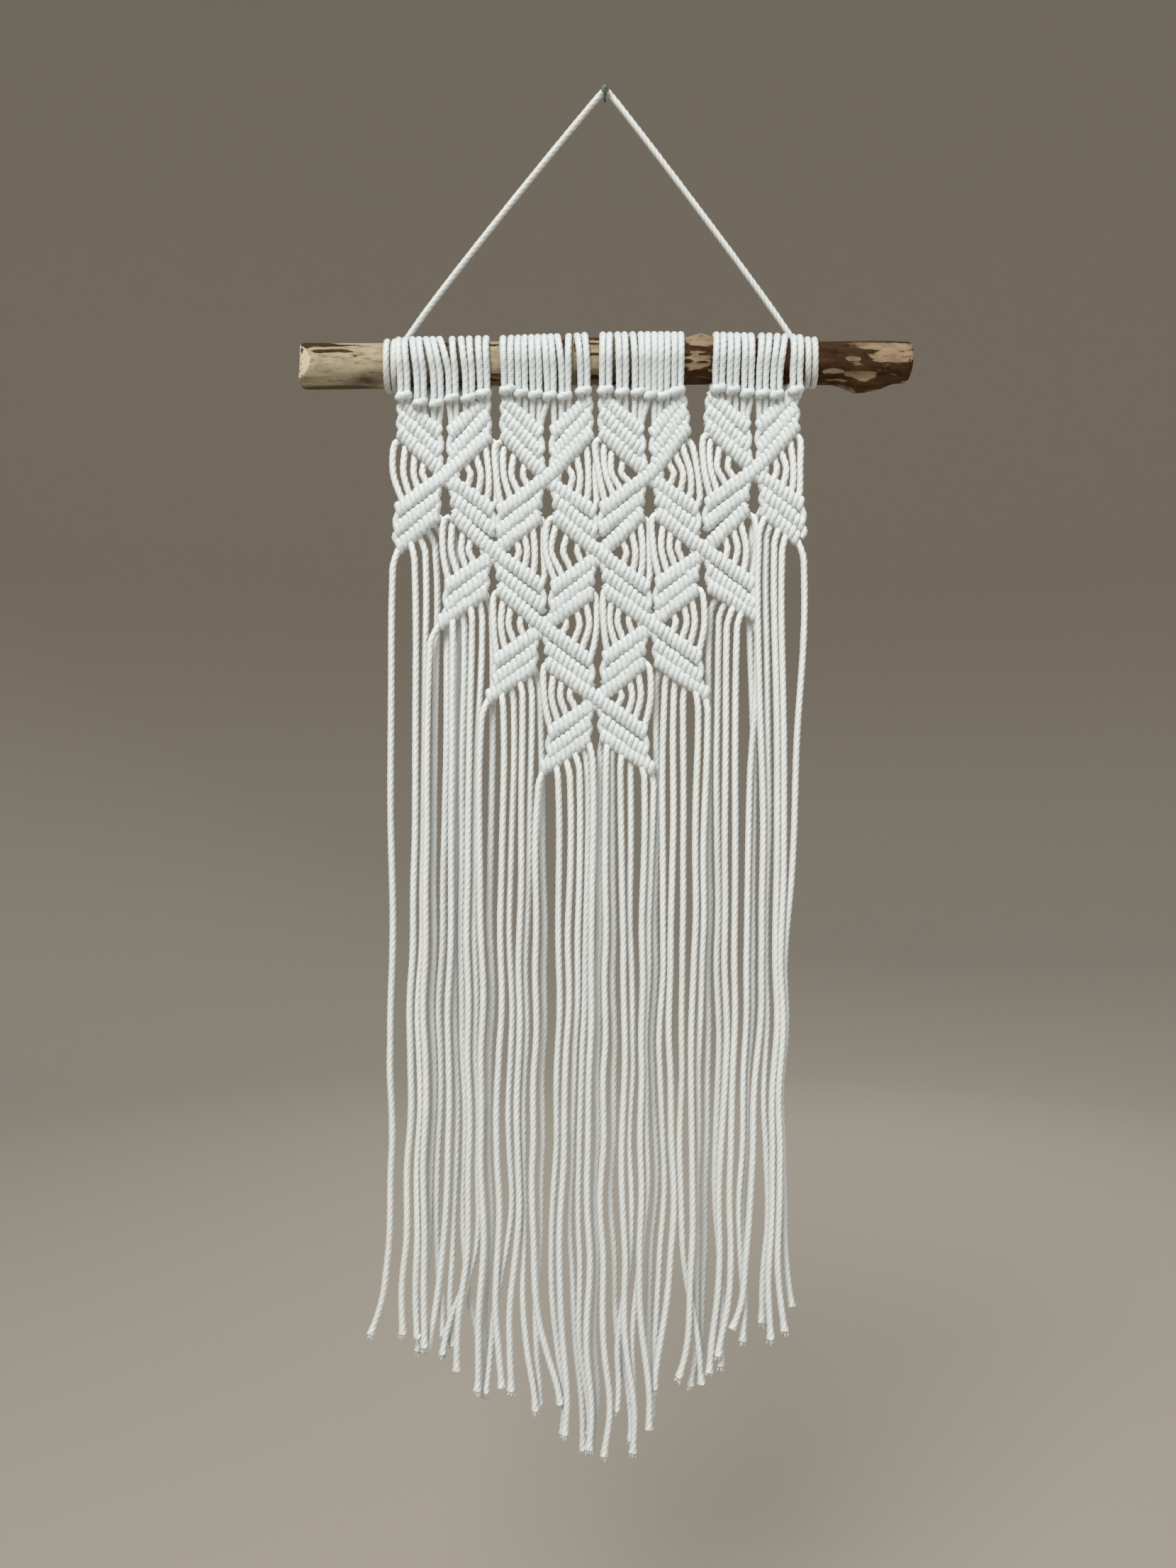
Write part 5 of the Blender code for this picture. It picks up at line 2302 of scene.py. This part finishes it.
@dataclass
class Studio:
    """The camera, the pale floor that sweeps up far behind, and soft lights."""

    camera_place: Point = (-10.64, -789.0, -424.3)
    half_angle_tan: float = 0.6176
    sensor: float = 36.0
    flat_radius: float = 2000.0
    sweep_radius: float = 1200.0
    sweep_steps: int = 12
    rim_height: float = 4200.0
    sides: int = 72
    lit_place: Point = (0.0, 0.0, -420.0)
    sky: tuple[float, float, float, float] = (0.93, 0.95, 1.0, 1.0)
    sky_strength: float = 0.5

    def camera(self) -> None:
        """Makes the camera, level and square to the wall."""
        data = bpy.data.cameras.new("camera")
        data.sensor_fit = "AUTO"
        data.sensor_width = self.sensor
        data.lens = self.sensor / 2 / self.half_angle_tan
        data.clip_start = 0.02
        data.clip_end = 50.0
        obj = bpy.data.objects.new("camera", data)
        obj.location = Vector(self.camera_place) * MM
        obj.rotation_euler = (math.pi / 2, 0.0, 0.0)
        bpy.context.scene.collection.objects.link(obj)
        bpy.context.scene.camera = obj

    @staticmethod
    def floor_place(radius: float, height: float, angle: float) -> Point:
        """Returns a place on the floor, from its distance from the middle, its height and its angle."""
        return (radius * math.cos(angle), radius * math.sin(angle), FLOOR_Z + height)

    def floor(self, finish: FloorFinish) -> None:
        """Turns the floor and its upturned rim as one sheet.

        Args:
            finish: the floor's finish.
        """
        outline = [(0.0, 0.0), (self.flat_radius, 0.0)]
        for i in range(1, self.sweep_steps + 1):
            angle = math.pi / 2 * i / self.sweep_steps
            out = self.flat_radius + self.sweep_radius * math.sin(angle)
            outline.append((out, self.sweep_radius * (1 - math.cos(angle))))
        outline.append((self.flat_radius + self.sweep_radius, self.rim_height))
        shape = lathe(outline, self.sides, self.floor_place)
        mesh_object("studio_floor", shape, (finish.material(),))

    def light(self, name: str, place: Point, size: float, watts: float, warmth: float = 0.0) -> None:
        """Adds one square soft light that faces the hanging.

        Args:
            name: the light's name.
            place: where it stands, in millimetres.
            size: its side, in millimetres.
            watts: its power.
            warmth: how much less blue than white it is, from 0 to 1.
        """
        data = bpy.data.lights.new(name, "AREA")
        data.shape = "SQUARE"
        data.size = size * MM
        data.energy = watts
        data.color = (1.0, 1.0 - 0.08 * warmth, 1.0 - 0.22 * warmth)
        obj = bpy.data.objects.new(name, data)
        obj.location = Vector(place) * MM
        way = Vector(self.lit_place) - Vector(place)
        obj.rotation_euler = way.to_track_quat("-Z", "Y").to_euler()
        bpy.context.scene.collection.objects.link(obj)

    def lights(self) -> None:
        """Lights the hanging from the upper left and fills it from the right, the back and above."""
        self.light("key", (-750.0, -1900.0, 1300.0), 1300.0, 58.0, 0.05)
        self.light("fill", (1500.0, -1500.0, -300.0), 1300.0, 9.5)
        self.light("back", (600.0, 1700.0, 600.0), 1200.0, 15.0)
        world = bpy.data.worlds.new("studio")
        world.use_nodes = True
        background = world.node_tree.nodes["Background"]
        background.inputs[0].default_value = self.sky
        background.inputs[1].default_value = self.sky_strength
        bpy.context.scene.world = world
        bpy.context.scene.view_settings.view_transform = "Standard"


# ---- main


# One cotton cord in two copies: the knots' copy is darker and cooler as painted shade, and the strands' copy
# is lighter as painted light.
SHADED_KNOT_COTTON = CottonFinish("cotton_knots_painted_shade", (0.79, 0.84, 0.845), (0.56, 0.605, 0.61), ply_shade=0.08)
LIT_STRAND_COTTON = CottonFinish("cotton_strands_painted_light", (0.90, 0.93, 0.92), (0.62, 0.65, 0.64), ply_shade=0.4)
HANGER_COTTON = CottonFinish("hanger_cotton_rope", (0.83, 0.855, 0.84), (0.58, 0.60, 0.59))


def main() -> None:
    """Builds the studio and every sub-assembly in order."""
    logging.basicConfig(level=logging.INFO, format="%(name)s: %(message)s")
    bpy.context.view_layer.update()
    studio = Studio()
    studio.camera()
    ropes = rope_tree()
    wraps = wrap_tree()
    shaded_knot_cotton = SHADED_KNOT_COTTON.material()
    lit_fringe_cotton = LIT_STRAND_COTTON.material()
    HangingCord(Rope(ropes, HANGER_COTTON.material(), radius=2.08)).build()
    LarksHeads(Rope(ropes, shaded_knot_cotton, radius=2.25, step=1.6)).build()
    link_rope = Rope(ropes, shaded_knot_cotton, radius=1.9, step=1.4, sides=10, ply_depth=0.05)
    KnotBars(wraps, shaded_knot_cotton, link_rope).build()
    EyeStrands(Rope(ropes, lit_fringe_cotton, radius=2.2, ply_depth=0.14)).build()
    strand_rope = Rope(ropes, lit_fringe_cotton, radius=2.17, ply_depth=0.14, flare=0.3)
    fray_rope = Rope(ropes, lit_fringe_cotton, radius=0.42, lay=4.0, step=1.1, sides=6, ply_depth=0.1)
    Fringe(strand_rope, fray_rope).build()
    Branch(WoodFinish("branch_bark").material(), SawnFinish("branch_sawn_end").material()).build()
    Nail(SteelFinish("nail_dull_steel").material()).build()
    studio.floor(FloorFinish("studio_floor_paint"))
    studio.lights()


if __name__ == "__main__":
    main()
